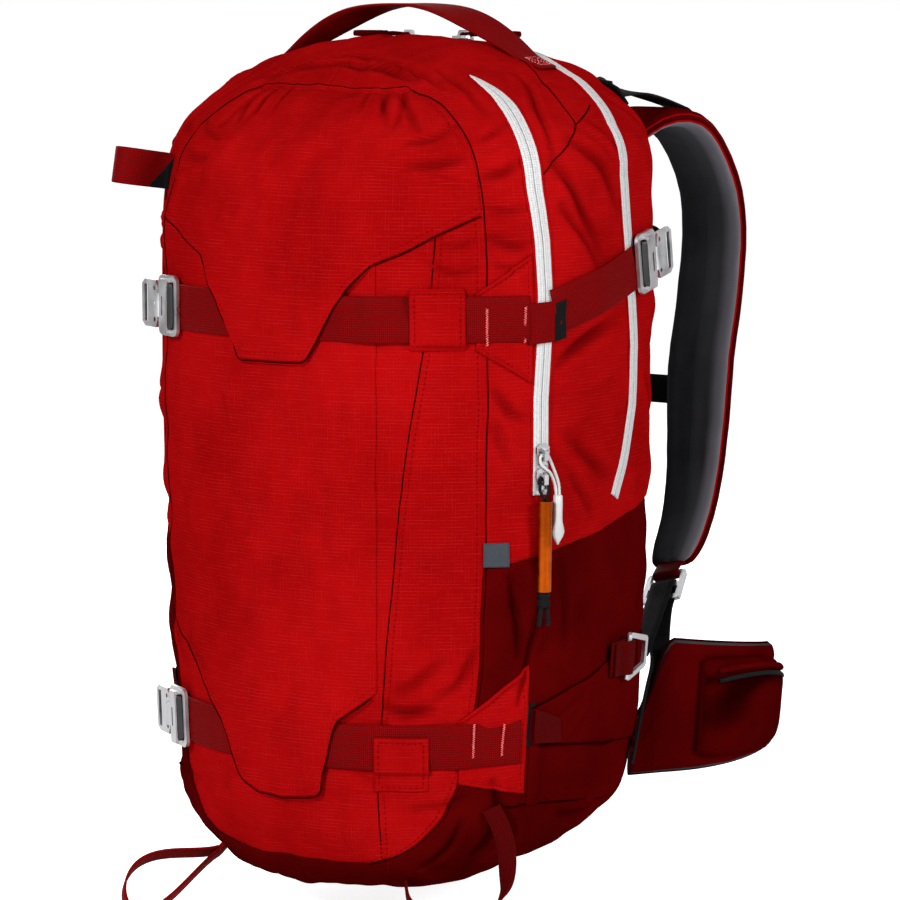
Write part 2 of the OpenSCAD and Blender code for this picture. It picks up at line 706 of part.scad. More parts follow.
// Aluminium ring for the hip stabiliser, hinged on its straight front side
ring_h = 31;
ring_l = 25;
ring_bar = 3.2;
ring_t = 2.4;
ring_angle = 9;
ring_level = 0.262;
ring_turn = ring_bar / 2 + seam * 1.6 + webbing_t / 2;
ring_lift = ring_turn + webbing_t / 2 + seam + fin_t;
ring_slope = 5;
ring_arm = 3.4;
module side_ring() color(silver) on_bag(ring_angle, ring_level, ring_lift) {
    rotate([90, 0, 0]) cylinder(h = ring_h - 2, d = ring_bar, center = true);
    linear_extrude(ring_t, center = true) difference() {
        polygon([
            [-1, 1.5 - ring_h / 2], [0.5, -ring_h / 2], [2, -ring_h / 2],
            [ring_l - 2, ring_slope - ring_h / 2], [ring_l, ring_slope + 2 - ring_h / 2],
            [ring_l, ring_h / 2 - ring_slope - 2], [ring_l - 2, ring_h / 2 - ring_slope],
            [2, ring_h / 2], [0.5, ring_h / 2], [-1, ring_h / 2 - 1.5]
        ]);
        polygon([
            [-2, ring_arm - ring_h / 2],
            [2, ring_arm - ring_h / 2],
            [ring_l - ring_arm, ring_arm + ring_slope - ring_h / 2],
            [ring_l - ring_arm, ring_h / 2 - ring_arm - ring_slope],
            [2, ring_h / 2 - ring_arm],
            [-2, ring_h / 2 - ring_arm]
        ]);
    }
}

// Black webbing tabs that hold the catch plates and the ring, and the sewn feet of the handle
tab_w = 22;
tab_land_left = -148;
tab_end_left = -153.2;
tab_land_rear = 27.5;
tab_end_rear = 34;
tab_steps = 4;
module catch_tab(f, t, land, end) {
    under = [[-catch_l + 2.6, -fold_z_plate * 1.7], [-catch_l + 6, -fold_z_plate], [-hook_out - 3, -fold_z_plate]];
    run = [
        for (i = [0 : tab_steps])
            let (a = mix(end, land, i / tab_steps)) lifted(a, t, strap_lift + webbing_t / 2)
    ];
    p = concat(run, [for (q = under) in_axes(f, [q[0], 0, q[1]])]);
    skin(band_rings(p, concat([for (q = run) [0, 0, f[2][2]]], [for (q = under) f[2]]), tab_w, webbing_t));
}
ring_tab_w = 22;
ring_normal = bag_normal(ring_angle, ring_level);
ring_up = cross(ring_normal, unit(cross([0, 0, 1], ring_normal)));
function ring_tab_points() =
    let (
        n = bag_normal(ring_angle, ring_level),
        x = unit(cross([0, 0, 1], n)),
        o = bag(ring_angle, ring_level) + n * ring_lift,
        z = ring_turn)
    [for (q = concat(
        [[-18, -z], [-9, -z]],
        [for (k = [-90 : 30 : 90]) [z * cos(k), z * sin(k)]],
        [[-4, z * 0.62], [-8, -z + webbing_t + seam], [-16, -z + webbing_t + seam]]
    )) o + x * q[0] + n * q[1]];
handle_x = 86;
handle_back = 11;
function hood_point(x, y, lift) =
    let (a = atan2(y, x), t = hood_level(a, norm([x, y])))
    lifted(a, t, lift);
// Height share where the hood is a given distance from the axis
function hood_level(a, r, low = hood_start, high = 1, n = 26) =
    let (m = (low + high) / 2)
    n == 0 ? m : reach(a, m) > r ? hood_level(a, r, m, high, n - 1) : hood_level(a, r, low, m, n - 1);
module webbing_tabs() color(black) {
    catch_tab(upper_left_axes, upper_level, tab_land_left, tab_end_left);
    catch_tab(lower_left_axes, lower_level, tab_land_left, tab_end_left);
    catch_tab(rear_right_axes, rear_level + 0.02, tab_land_rear, tab_end_rear);
    band(ring_tab_points(), ring_up, ring_tab_w, webbing_t);
}

// Grab handle: an arch of folded webbing whose feet lie flat on the hood
foot_l = 14;
handle_t = 2;
arch_steps = 14;
function handle_half() =
    let (
        foot = hood_point(handle_x, handle_back, seam + handle_t / 2),
        toe = hood_point(handle_x + foot_l * 0.5, handle_back, seam + handle_t / 2),
        end = hood_point(handle_x + foot_l, handle_back, seam + handle_t / 2))
    concat([end, toe, foot],
        [for (k = [1 : arch_steps / 2]) let (s = 1 - 2 * k / arch_steps)
            [foot[0] * s, foot[1], foot[2] + handle_h * (1 - s * s)]]);
module grab_handle() color(webbing_red) {
    half = handle_half();
    n = len(half);
    band(concat(half, [for (i = [n - 2 : -1 : 0]) flip(half[i])]), [0, 1, 0], handle_w, handle_t);
}

// Loops of narrow webbing

// Distance between the two sewn ends of a webbing loop
leg_gap = (webbing_t + seam) * 1.02;

// A teardrop loop sewn into a seam: out along dir, falling along fall
function teardrop(o, dir, fall, l, d) = [
    for (k = [0 : 14]) let (s = k / 14, a = 360 * s)
        o + dir * (l * (1 - cos(a)) / 2)
            + fall * ((l * 0.42 - d * sin(a)) * (1 - cos(a)) / 2 + (s - 0.5) * leg_gap)
];
tool_loop_angle = -128;
tool_loop_l = 66;
tool_loop_d = 27;
// How far the loop is turned about its own length, so that its flat side is seen from the front
tool_loop_turn = 40;
module left_tool_loop() color(webbing_red) {
    n = bag_normal(tool_loop_angle, base_seam);
    out = unit([n[0], n[1], 0]);
    side = cross([0, 0, 1], out);
    fall = [0, 0, -cos(tool_loop_turn)] + side * sin(tool_loop_turn);
    o = lifted(tool_loop_angle, base_seam, webbing_t + 3);
    band(teardrop(o, out, fall, tool_loop_l, tool_loop_d), cross(out, fall), loop_w, webbing_t);
}
right_loop_top = -37;
right_loop_low = -58;
module right_tool_loop() color(webbing_red) {
    top_t = lower_level - 0.075;
    low_t = base_seam * 0.5;
    a = lifted(right_loop_top, top_t, seam * 2 + tab_t + webbing_t / 2 + 3);
    b = lifted(right_loop_low, low_t, seam + webbing_t / 2);
    out = unit([cos(right_loop_top), sin(right_loop_top), 0]);
    across = [sin(30), -cos(30), 0];
    right = [cos(30), sin(30), 0];
    p = curve([
        a,
        a + right * 7 + [0, 0, -16],
        a + right * 10 + [0, 0, -36],
        a + right * 7 + [0, 0, -54],
        a - right * 6 + [0, 0, -70],
        mix(a, b, 0.62) + [0, 0, -38] + out * 4,
        b + out * 10 + [0, 0, -11],
        b
    ], 3);
    turned = across * 0.75 + [0, 0, 0.65];
    sides = [for (i = [0 : len(p) - 1]) mix(right, turned, ease(min(1, i / 14)))];
    skin(band_rings(p, sides, loop_w, webbing_t));
}
ski_angle = -147;
ski_level = 0.838;
ski_l = 33;
ski_d = 13;
ski_w = 23;
ski_rise = 0.14;
module ski_loop() color(webbing_red) {
    n = bag_normal(ski_angle, ski_level);
    flat = unit([n[0], n[1], 0]);
    side = cross([0, 0, 1], flat);
    out = unit(flat + [0, 0, ski_rise]);
    o = lifted(ski_angle, ski_level, ski_w / 2 * abs(n[2]) + 0.85);
    p = [for (k = [0 : 14]) let (s = k / 14, a = 360 * s)
        o + out * (ski_l * (1 - cos(a)) / 2)
            + side * (ski_d * sin(a) * (1 - cos(a)) / 2 - (s - 0.5) * leg_gap)];
    band(p, cross(out, side), ski_w, webbing_t);
}

// Shoulder harness: the right pad is drawn and the left one mirrored

back_y = axis_y + back_d;
pad_root_gap = 2.9;
// Curve of the right pad: sideways from its top, share of its reach and share of the bag's height
pad_course = [
    [0, 0, 0.812], [4, 0.22, 0.866], [8, 0.52, 0.893], [12, 0.81, 0.880], [18, 0.985, 0.815], [23, 1, 0.742],
    [29, 0.885, 0.651], [33, 0.77, 0.575], [40, 0.65, 0.455], [45, 0.52, 0.385], [47, 0.36, 0.332]
];
function pad_point(q) = [pad_gap / 2 + q[0], back_y + pad_root_gap + pad_reach * q[1], base_z + bag_h * q[2]];
pad_path = curve([for (q = pad_course) pad_point(q)], 3);
pad_turn = 18;
pad_side = [cos(pad_turn), -sin(pad_turn), 0];
pad_root_side = [1, 0, 0];
pad_tip_w = 38;
function pad_side_at(i) = mix(pad_root_side, pad_side, min(1, i / 9));
function pad_w_at(i) =
    let (s = i / (len(pad_path) - 1)) s < 0.7 ? pad_w : mix(pad_w, pad_tip_w, ease((s - 0.7) / 0.3));
function pad_t_at(i) =
    let (n = len(pad_path) - 1, e = min(i, n - i) / 3) e >= 1 ? pad_t : mix(pad_t * 0.5, pad_t, sin(90 * e));
function pad_axes(i) =
    let (h = heading(pad_path, i), s = unit(pad_side_at(i) - h * (h * pad_side_at(i))))
    [pad_path[i], s, cross(s, h), h];

// Outline of a cushion's section, fuller than an ellipse
section_n = 12;
function signed_pow(v, e) = sign(v) * pow(abs(v), e);
function cushion_ring(o, s, n, w, t) = [
    for (k = [0 : section_n - 1]) let (a = 360 * (k + 0.5) / section_n)
        o + s * signed_pow(cos(a), 0.5) * w / 2 + n * signed_pow(sin(a), 0.7) * t / 2
];
module shoulder_pad() {
    skin([for (i = [0 : len(pad_path) - 1]) let (f = pad_axes(i))
        cushion_ring(f[0], f[1], f[2], pad_w_at(i), pad_t_at(i))]);
    // Webbing at the tip that carries the ladder lock
    tip = last_pad_axes;
    p = concat([tip[0] - tip[3] * 6], [for (q = lock_loop) in_lock(q)]);
    band(p, lock_x, lock_tab_w, webbing_t);
}
last_pad_axes = pad_axes(len(pad_path) - 1);

// Ladder lock: y runs up its strap from the hinge bar, z away from the wearer's side
lock_w = 30;
lock_bar = 3.2;
lock_t = 3;
lock_tab_w = 20;
lock_rail = 3.4;
lock_gap = 9;
lock_mid = -10.5;
lock_low = -21;
lock_origin = last_pad_axes[0] + last_pad_axes[3] * lock_gap;
// The lower webbing is sewn on the fin and climbs inside the hip wing
anchor_course = [[23.5, 0.11, 0.5], [26, 0.142, 0.7], [28.2, 0.176, 2.4]];
anchor_path = [for (q = anchor_course) lifted(q[0], q[1], fin_t + seam + webbing_t / 2 + q[2])];
lower_anchor = last(anchor_path);
lock_y = unit(mix(unit(last_pad_axes[0] - lock_origin), unit(lock_origin - lower_anchor), 0.5));
lock_x = unit(last_pad_axes[1] - lock_y * (lock_y * last_pad_axes[1]));
lock_z = cross(lock_x, lock_y);
function in_lock(q) = lock_origin + lock_x * q[0] + lock_y * q[1] + lock_z * q[2];
lock_turn = lock_bar / 2 + seam * 1.7 + webbing_t / 2;
lock_loop = concat(
    [for (k = [60 : 30 : 300]) [0, lock_turn * cos(k), lock_turn * sin(k) ]],
    [[0, 4.2, -lock_turn * 0.55]]);
module at_lock() at_axes([lock_origin, lock_x, lock_y, lock_z]) children();
module ladder_lock() color(silver) at_lock() {
    rotate([0, 90, 0]) cylinder(h = lock_w - 2, d = lock_bar, center = true);
    linear_extrude(lock_t, center = true) difference() {
        rotate([0, 0, -90]) round_rect(0, 2 - lock_low, lock_w, 2);
        translate([0, (lock_mid + 2.8) / 2]) square([lock_w - 2 * lock_rail, -lock_mid - 0.8], center = true);
        translate([0, (lock_mid - 1.8 + lock_low + 1.8) / 2])
            square([lock_w - 2 * lock_rail, lock_mid - lock_low - 3.6], center = true);
    }
}
lock_fold = lock_t / 2 + seam * 1.6 + webbing_t / 2;
lock_tail = 55;
lower_webbing_w = 18;
module lower_webbing() {
    turn = lock_mid + 1.8 + seam * 1.6 + webbing_t / 2;
    lock_run = [for (q = [
        [0, lock_low - 6, -lock_fold], [0, lock_mid, -lock_fold], [0, turn - 0.6, -lock_fold * 0.7],
        [0, turn, 0], [0, turn - 0.6, lock_fold * 0.7],
        [0, lock_mid, lock_fold], [0, lock_low, lock_fold],
        [0, lock_low - 12, lock_fold * 1.3], [0, lock_low - lock_tail, lock_fold * 2.6]
    ]) in_lock(q)];
    climb = curve(concat(anchor_path, [mix(lower_anchor, lock_run[0], 0.5) + [1, 0, 0], lock_run[0]]), 3);
    n = len(climb) - 1;
    on_fin = anchor_course[1];
    fin_side = cross(anchor_path[2] - anchor_path[0], bag_normal(on_fin[0], on_fin[1]));
    sides = [for (i = [0 : n - 1]) mix(unit(fin_side), lock_x, ease(min(1, max(0, (i - 8) / (n - 9)))))];
    p = concat([for (i = [0 : n - 1]) climb[i]], lock_run);
    skin(band_rings(p, concat(sides, [for (q = lock_run) lock_x]), lower_webbing_w, webbing_t));
}
module lower_webbings() color(black) both_sides() lower_webbing();

lifter_w = 15;
// Extra height where webbing crosses the rounded corner of the hood
corner_lift = 0.7;
module load_lifter() {
    out = pad_t / 2 + seam * 4.5 + webbing_t / 2;
    function top(i) = pad_axes(i)[0] + pad_axes(i)[2] * out;
    low = seam + webbing_t / 2 + corner_lift;
    foot = [[34, 0.925], [38, 0.93], [42, 0.934]];
    on_bag = [for (q = foot) lifted(q[0], q[1], low)];
    across = [for (i = [0 : 2]) cross(heading(on_bag, i), bag_normal(foot[i][0], foot[i][1]))];
    p = concat(on_bag, [mix(on_bag[2], top(8), 0.5) + [0, 0, 2], top(8) + [0, 0, 0.4], top(9), top(10)]);
    skin(band_rings(p, concat(across, [for (k = [0 : 3]) pad_root_side]), lifter_w, webbing_t));
}
module load_lifters() color(black) both_sides() load_lifter();
module right_shoulder_pad() color(dark_red) shoulder_pad();
module left_shoulder_pad() color(dark_red) mirror([1, 0, 0]) shoulder_pad();
module right_ladder_lock() ladder_lock();
module left_ladder_lock() mirror([1, 0, 0]) ladder_lock();

// Sternum strap that slides on a straight rail on each pad
rail_from = 18;
rail_to = 24;
// How far a rail stands outside the top of its pad's middle line
rail_offset = 22;
rail_w = 8;
rail_t = 2;
rail_lift = pad_t / 2 + seam + rail_t / 2;
// Both ends of a rail are as far from the middle of the bag, so that the two rails are parallel
function rail_end(i) =
    let (f = pad_axes(i), p = f[0] + f[2] * rail_lift)
    p + f[1] * (pad_gap / 2 + rail_offset - p[0]) / f[1][0];
rail_a = rail_end(rail_from);
rail_b = rail_end(rail_to);
rail_dir = unit(rail_a - rail_b);
rail_side = unit(pad_side - rail_dir * (rail_dir * pad_side));
rail_out = cross(rail_dir, rail_side);
module sternum_rails() color(black) both_sides()
    skin(band_rings([rail_a, rail_b], [rail_side, rail_side], rail_w, rail_t));
rail_mid_point = (rail_a + rail_b) / 2;
clip_t = 2;
clip_h = sternum_w + 4;
clip_lip = 2;
// Slope of the sternum strap's plane, square to the rails and level from pad to pad
sternum_dir = unit([0, rail_dir[1], rail_dir[2]]);
sternum_out = [0, rail_dir[2], -rail_dir[1]] / norm([rail_dir[1], rail_dir[2]]);
clip_axes = [rail_mid_point, rail_side, -rail_dir, rail_out];
module rail_clip() at_axes(clip_axes)
    rotate([90, 0, 0]) linear_extrude(clip_h, center = true) polygon([
        [-rail_w / 2 - seam - clip_lip, rail_t / 2 - 1], [-rail_w / 2 - seam, rail_t / 2 - 1],
        [-rail_w / 2 - seam, rail_t / 2 + seam], [rail_w / 2 + seam, rail_t / 2 + seam],
        [rail_w / 2 + seam, rail_t / 2 - 1], [rail_w / 2 + seam + clip_lip, rail_t / 2 - 1],
        [rail_w / 2 + seam + clip_lip, rail_t / 2 + seam + clip_t],
        [-rail_w / 2 - seam - clip_lip, rail_t / 2 + seam + clip_t]
    ]);
sternum_lift = rail_t / 2 + seam * 2 + clip_t + webbing_t / 2;
sternum_rise = 5;
sternum_pin = rail_mid_point + rail_out * sternum_lift;
sternum_buckle_l = 44;
sternum_buckle_t = 7;
function sternum_half() = curve([
    sternum_pin + rail_side * (rail_w / 2 + 1), sternum_pin - rail_side * (rail_w / 2 + 1),
    sternum_pin - rail_side * 18 + sternum_out * sternum_rise,
    [
        sternum_buckle_l / 2 + seam,
        sternum_pin[1] + sternum_out[1] * (sternum_rise + 3),
        sternum_pin[2] + sternum_out[2] * (sternum_rise + 3)
    ]
], 4);
module sternum_strap() color(black) both_sides() band(sternum_half(), rail_dir, sternum_w, webbing_t);
sternum_mid = last(sternum_half());
module sternum_buckle() color(black) {
    both_sides() rail_clip();
    at_axes([[0, sternum_mid[1], sternum_mid[2]], [1, 0, 0], sternum_dir, cross([1, 0, 0], sternum_dir)])
        linear_extrude(sternum_buckle_t, center = true) difference() {
            round_rect(-sternum_buckle_l / 2, sternum_buckle_l / 2, sternum_w + 6, 4);
            for (s = [-1, 1]) translate([s * 9, sternum_w / 2 + 3.2]) circle(4);
        }
}

// Hip belt wings, hinged where the fins end

wing_root_angle = 35;
wing_level = 0.17;
wing_root = lifted(wing_root_angle, wing_level, wing_t * 0.275 + seam * 2);
// Course of the right wing: sideways and back from its root, as shares of its reach
wing_course = [[0, 0], [0.21, 0.2], [0.3, 0.45], [0.29, 0.75], [0.2, 1]];
wing_drop = 14;
wing_end_h = 66;
wing_middle = curve([for (q = wing_course)
    wing_root + [wing_reach * q[0], (wing_reach + 14) * q[1], -wing_drop * q[1]]], 4);
wing_steps = len(wing_middle) - 1;
// The wing is low at its root and grows upwards over its first steps
wing_root_h = 36;
wing_grow = 6;
function wing_full_h(i) = mix(wing_h, wing_end_h, i / wing_steps);
function wing_h_at(i) = mix(wing_root_h, wing_full_h(i), ease(min(1, i / wing_grow)));
wing_path = [for (i = [0 : wing_steps]) wing_middle[i] + [0, 0, (wing_h_at(i) - wing_full_h(i)) / 2]];
function wing_axes(i) =
    let (h = heading(wing_middle, i), s = [0, 0, 1])
    [wing_path[i], unit(s - h * (h * s)), unit(cross(h, s)), h];
function wing_t_at(i) =
    let (e = min(i, wing_steps - i) / 2) e >= 1 ? wing_t : mix(wing_t * 0.55, wing_t, sin(90 * e));
module hip_wing() skin([for (i = [0 : wing_steps]) let (f = wing_axes(i))
    cushion_ring(f[0], f[1], f[2], wing_h_at(i), wing_t_at(i))]);
pocket_from = 4;
pocket_to = 12;
pocket_t = 16;
pocket_share = 0.8;
module hip_pocket() skin([for (i = [pocket_from : pocket_to])
    let (
        f = wing_axes(i),
        s = (i - pocket_from) / (pocket_to - pocket_from),
        full = mix(4, pocket_t, pow(1 - pow(abs(2 * s - 1), 3), 0.6)),
        h = wing_h_at(i) * pocket_share * mix(0.8, 1, pow(1 - pow(abs(2 * s - 1), 4), 0.5)))
    [for (k = [0 : 8]) let (a = 180 * k / 8)
        f[0] + f[2] * (wing_t / 2 + seam + full * pow(sin(a), 0.7))
            + f[1] * h / 2 * signed_pow(cos(a), 0.6)]]);
hip_tail = wing_axes(wing_steps);
function hip_webbing_points() =
    let (o = hip_tail[0] + hip_tail[2] * (wing_t * 0.275 + seam + webbing_t / 2), h = hip_tail[3])
    curve([
        wing_axes(wing_steps - 2)[0] + wing_axes(wing_steps - 2)[2] * (wing_t / 2 + seam + webbing_t / 2),
        o + h * 2 + hip_tail[2] * 1.5,
        o + h * 22 + [-4, 0, -5],
        o + [-38, 44, -16],
        o + [-70, 52, -17]
    ], 4);
module hip_strap() band(hip_webbing_points(), [0, 0, 1], hip_webbing_w, webbing_t);
hip_buckle_l = 46;
hip_buckle_t = 9;
hip_end = last(hip_webbing_points());
module tongue() at_axes([hip_end, [-1, 0, 0], [0, 0, 1], [0, 1, 0]]) {
    linear_extrude(hip_buckle_t, center = true) difference() {
        translate([seam, -hip_webbing_w / 2 - 3]) square([14 - seam, hip_webbing_w + 6]);
        translate([5, -hip_webbing_w / 2]) square([4, hip_webbing_w]);
    }
    linear_extrude(hip_buckle_t * 0.55, center = true) {
        for (s = [-1, 1]) translate([13.5, s * 13 - 3]) square([hip_buckle_l - 24, 6]);
        translate([13.5, -4]) square([hip_buckle_l - 18, 8]);
    }
}
module socket() at_axes([hip_end, [-1, 0, 0], [0, 0, 1], [0, 1, 0]])
    linear_extrude(hip_buckle_t + 3, center = true) difference() {
        round_rect(seam, 2 + hip_buckle_l, hip_webbing_w + 8, 3);
        translate([5, -hip_webbing_w / 2]) square([4, hip_webbing_w]);
        for (s = [-1, 1]) translate([hip_buckle_l * 0.62, s * (hip_webbing_w / 2 + 8)]) circle(8);
    }
module right_hip_wing() color(dark_red) hip_wing();
module left_hip_wing() color(dark_red) mirror([1, 0, 0]) hip_wing();
module right_hip_pocket() color(dark_red) hip_pocket();
module left_hip_pocket() color(dark_red) mirror([1, 0, 0]) hip_pocket();
module right_hip_webbing() color(black) hip_strap();
module left_hip_webbing() color(black) mirror([1, 0, 0]) hip_strap();
module hip_buckle_tongue() color(black) tongue();
module hip_buckle_socket() color(black) mirror([1, 0, 0]) socket();

// Zip sliders: y along the zip, z away from the tape

slider_t = 1.7;
bail_l = 8.4;
bail_h = 4.2;
bail_w = 3;
bail_in = 1.5;
bail_z = slider_t + (bail_h - bail_in) / 2;
module slider() color(silver) {
    linear_extrude(slider_t) polygon([
        [-slider_w * 0.36, -slider_l / 2], [slider_w * 0.36, -slider_l / 2], [slider_w / 2, slider_l * 0.1],
        [slider_w / 2, slider_l * 0.36], [slider_w * 0.3, slider_l / 2], [-slider_w * 0.3, slider_l / 2],
        [-slider_w / 2, slider_l * 0.36], [-slider_w / 2, slider_l * 0.1]
    ]);
    translate([0, 0, slider_t]) rotate([90, 0, 90]) linear_extrude(bail_w, center = true) difference() {
        polygon([[-bail_l / 2, 0], [bail_l / 2, 0], [bail_l * 0.36, bail_h], [-bail_l * 0.36, bail_h]]);
        polygon([[-bail_l / 2 + bail_in, -0.5], [bail_l / 2 - bail_in, -0.5],
            [bail_l * 0.36 - bail_in, bail_h - bail_in], [-bail_l * 0.36 + bail_in, bail_h - bail_in]]);
    }
}
slider_lift = tape_lift + tape_t + seam;
orange_slider_level = 0.497;
white_slider_level = 0.497 + (slider_l + 2) / bag_h;
function slider_axes(a, t) =
    let (n = bag_normal(a, t), x = unit(cross([0, 0, 1], n)), y = cross(n, x))
    [bag(a, t) + n * slider_lift, x, y, n];
orange_axes = slider_axes(front_zip_angle, orange_slider_level);
white_axes = slider_axes(front_zip_angle, white_slider_level);
module orange_slider() at_axes(orange_axes) slider();
module white_slider() at_axes(white_axes) slider();

// The two sliders of the main zip meet near the middle of the hood
top_slider_x = 17;
function path_point_near(x) =
    let (p = main_zip_path(), m = len(p) / 2)
    [for (i = [0 : floor(m)]) if (bag(p[i][0], p[i][1])[0] > x) p[i]];
top_slider_at = last(path_point_near(top_slider_x));
function top_axes() =
    let (
        n0 = bag_normal(top_slider_at[0], top_slider_at[1]),
        y = [1, 0, 0],
        n = unit(n0 - y * (y * n0)),
        sink = 0.25)
    [bag(top_slider_at[0], top_slider_at[1]) + n0 * (slider_lift + sink), cross(y, n), y, n];
module right_top_slider() at_axes(top_axes()) slider();
module left_top_slider() mirror([1, 0, 0]) at_axes(top_axes()) slider();

// Pulls: each hangs on a loop of cord through its slider's bail

cord_d = 1.9;
cord_n = 8;
cord_half = 3;
// A loop of cord through a bail, square to it there and then towards y
function bail_loop(y) =
    let (d = sign(y))
    [
        [-cord_half, y, bail_z + 0.6], [-cord_half, y * 0.5, bail_z + 0.3], [-cord_half, d * 2.4, bail_z],
        [-cord_half + 0.35, d * 0.9, bail_z], [-1.7, 0, bail_z],
        [1.7, 0, bail_z], [cord_half - 0.35, d * 0.9, bail_z],
        [cord_half, d * 2.4, bail_z], [cord_half, y * 0.5, bail_z + 0.3], [cord_half, y, bail_z + 0.6]
    ];
tube_start = -13;
tube_bore = 5.4;
tube_z = bail_z + 1.6;
knot_d = 9;
knot_l = 10;
module tube_pull() color(orange) at_axes(orange_axes)
    translate([0, tube_start, tube_z]) rotate([90, 0, 0]) difference() {
        cylinder(h = tube_l, d = tube_d);
        translate([0, 0, -1]) cylinder(h = tube_l + 2, d = tube_bore);
    }
module tube_cord() color(black) at_axes(orange_axes) {
    p = concat(
        [[-1.15, tube_start - 4, tube_z], [-1.2, tube_start + 1.5, tube_z - 0.2]],
        bail_loop(tube_start + 6),
        [[1.2, tube_start + 1.5, tube_z - 0.2], [1.15, tube_start - 4, tube_z]]);
    skin(cord_rings(curve(p, 2), cord_d, cord_n));
    translate([0, tube_start - 3, tube_z]) rotate([90, 0, 0]) cylinder(h = tube_l, d = tube_bore - 1);
    translate([0, tube_start - tube_l - seam, tube_z]) rotate([90, 0, 0])
        cylinder(h = knot_l, d1 = knot_d * 0.8, d2 = knot_d);
    for (s = [-1, 1])
        translate([s * 2, tube_start - tube_l - seam - knot_l + 0.5, tube_z]) rotate([90, 0, s * 8])
        cylinder(h = 12, d = 3);
}
moulded_side = 9.5;
moulded_drop = -25;
moulded_l = 31;
module moulded_pull() color(white) at_axes(white_axes) {
    p = concat(
        [[moulded_side - 1, moulded_drop - 3, bail_z + 1]],
        [[moulded_side - 2, moulded_drop + 6, bail_z + 0.8]],
        [[4.6, -12, bail_z + 0.5], [1.2, -8.6, bail_z + 0.4], [-2.3, -5.6, bail_z + 0.2], [-3, -2.4, bail_z],
            [-2.65, -0.9, bail_z], [-1.7, 0, bail_z], [1.7, 0, bail_z], [2.8, -0.9, bail_z],
            [4.6, -4.4, bail_z + 0.2], [8, -12, bail_z + 0.4]],
        [[moulded_side + 0.6, moulded_drop + 6, bail_z + 0.8]],
        [[moulded_side + 1, moulded_drop - 3, bail_z + 1]]);
    skin(cord_rings(curve(p, 2), cord_d, cord_n));
    translate([moulded_side, moulded_drop, bail_z + 1]) linear_extrude(4.6, center = true) polygon([
        [-2.6, 0], [2.6, 0], [3, -moulded_l * 0.55], [4.6, -moulded_l * 0.75], [0, -moulded_l],
        [-4.6, -moulded_l * 0.75], [-3, -moulded_l * 0.55]
    ]);
}
top_pull_l = 26;
module top_pull() color(dark_red) at_axes(top_axes()) {
    p = concat([[-1.15, 18, bail_z + 0.6]], bail_loop(11), [[1.15, 18, bail_z + 0.6]]);
    skin(cord_rings(curve(p, 2), cord_d, cord_n));
    translate([0, 16, bail_z + 0.6]) rotate([-90, 0, 0]) cylinder(h = top_pull_l, d = 4.2);
}
module right_top_pull() top_pull();
module left_top_pull() mirror([1, 0, 0]) top_pull();

front_panel();
hood();
base_panel();
front_gussets();
main_gussets();
rear_gussets();
lower_side_panels();
back_panel();
tool_divider();
frame_sheet();
frame_stays();
back_pads();
lumbar_pad();
front_zip();
main_zip();
upper_front_strap();
lower_front_strap();
right_side_strap();
upper_strap_cover();
lower_strap_cover();
strap_keepers();
strap_tabs();
catch_plates();
webbing_tabs();
load_lifters();
lower_webbings();
hip_fins();
side_label();
upper_left_frame();
lower_left_frame();
rear_right_frame();
side_ring();
grab_handle();
right_shoulder_pad();
left_shoulder_pad();
sternum_rails();
sternum_strap();
sternum_buckle();
right_ladder_lock();
left_ladder_lock();
right_hip_wing();
right_hip_pocket();
right_hip_webbing();
hip_buckle_tongue();
left_hip_wing();
left_hip_pocket();
left_hip_webbing();
hip_buckle_socket();
orange_slider();
white_slider();
right_top_slider();
left_top_slider();
tube_pull();
tube_cord();
moulded_pull();
right_top_pull();
left_top_pull();
left_tool_loop();
right_tool_loop();
ski_loop();
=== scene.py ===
"""Looks of a ski touring backpack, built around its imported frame."""

import math

import bpy
import numpy as np
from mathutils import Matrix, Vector


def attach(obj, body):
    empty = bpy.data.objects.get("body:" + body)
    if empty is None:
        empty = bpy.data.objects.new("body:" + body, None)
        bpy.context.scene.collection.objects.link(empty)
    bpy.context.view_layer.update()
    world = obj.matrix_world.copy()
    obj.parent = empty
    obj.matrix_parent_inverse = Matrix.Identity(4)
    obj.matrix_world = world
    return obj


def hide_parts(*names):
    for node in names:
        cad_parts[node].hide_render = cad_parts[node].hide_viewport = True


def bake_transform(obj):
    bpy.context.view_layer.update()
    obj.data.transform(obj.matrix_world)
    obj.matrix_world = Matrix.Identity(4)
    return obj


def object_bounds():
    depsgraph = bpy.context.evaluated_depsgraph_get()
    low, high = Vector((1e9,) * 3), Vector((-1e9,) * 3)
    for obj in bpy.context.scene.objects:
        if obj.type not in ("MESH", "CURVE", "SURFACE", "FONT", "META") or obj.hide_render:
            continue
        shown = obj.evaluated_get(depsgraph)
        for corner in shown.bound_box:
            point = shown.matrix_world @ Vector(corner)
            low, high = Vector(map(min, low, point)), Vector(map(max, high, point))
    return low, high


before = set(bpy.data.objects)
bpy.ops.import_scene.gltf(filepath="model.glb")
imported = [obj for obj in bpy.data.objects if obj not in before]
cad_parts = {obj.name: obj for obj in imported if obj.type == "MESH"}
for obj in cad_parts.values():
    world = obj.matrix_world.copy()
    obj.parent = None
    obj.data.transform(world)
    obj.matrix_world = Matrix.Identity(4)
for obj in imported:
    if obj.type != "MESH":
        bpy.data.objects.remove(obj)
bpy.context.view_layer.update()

# Lengths below are in millimetres, and angles in degrees, until a mesh is made
MM = 0.001

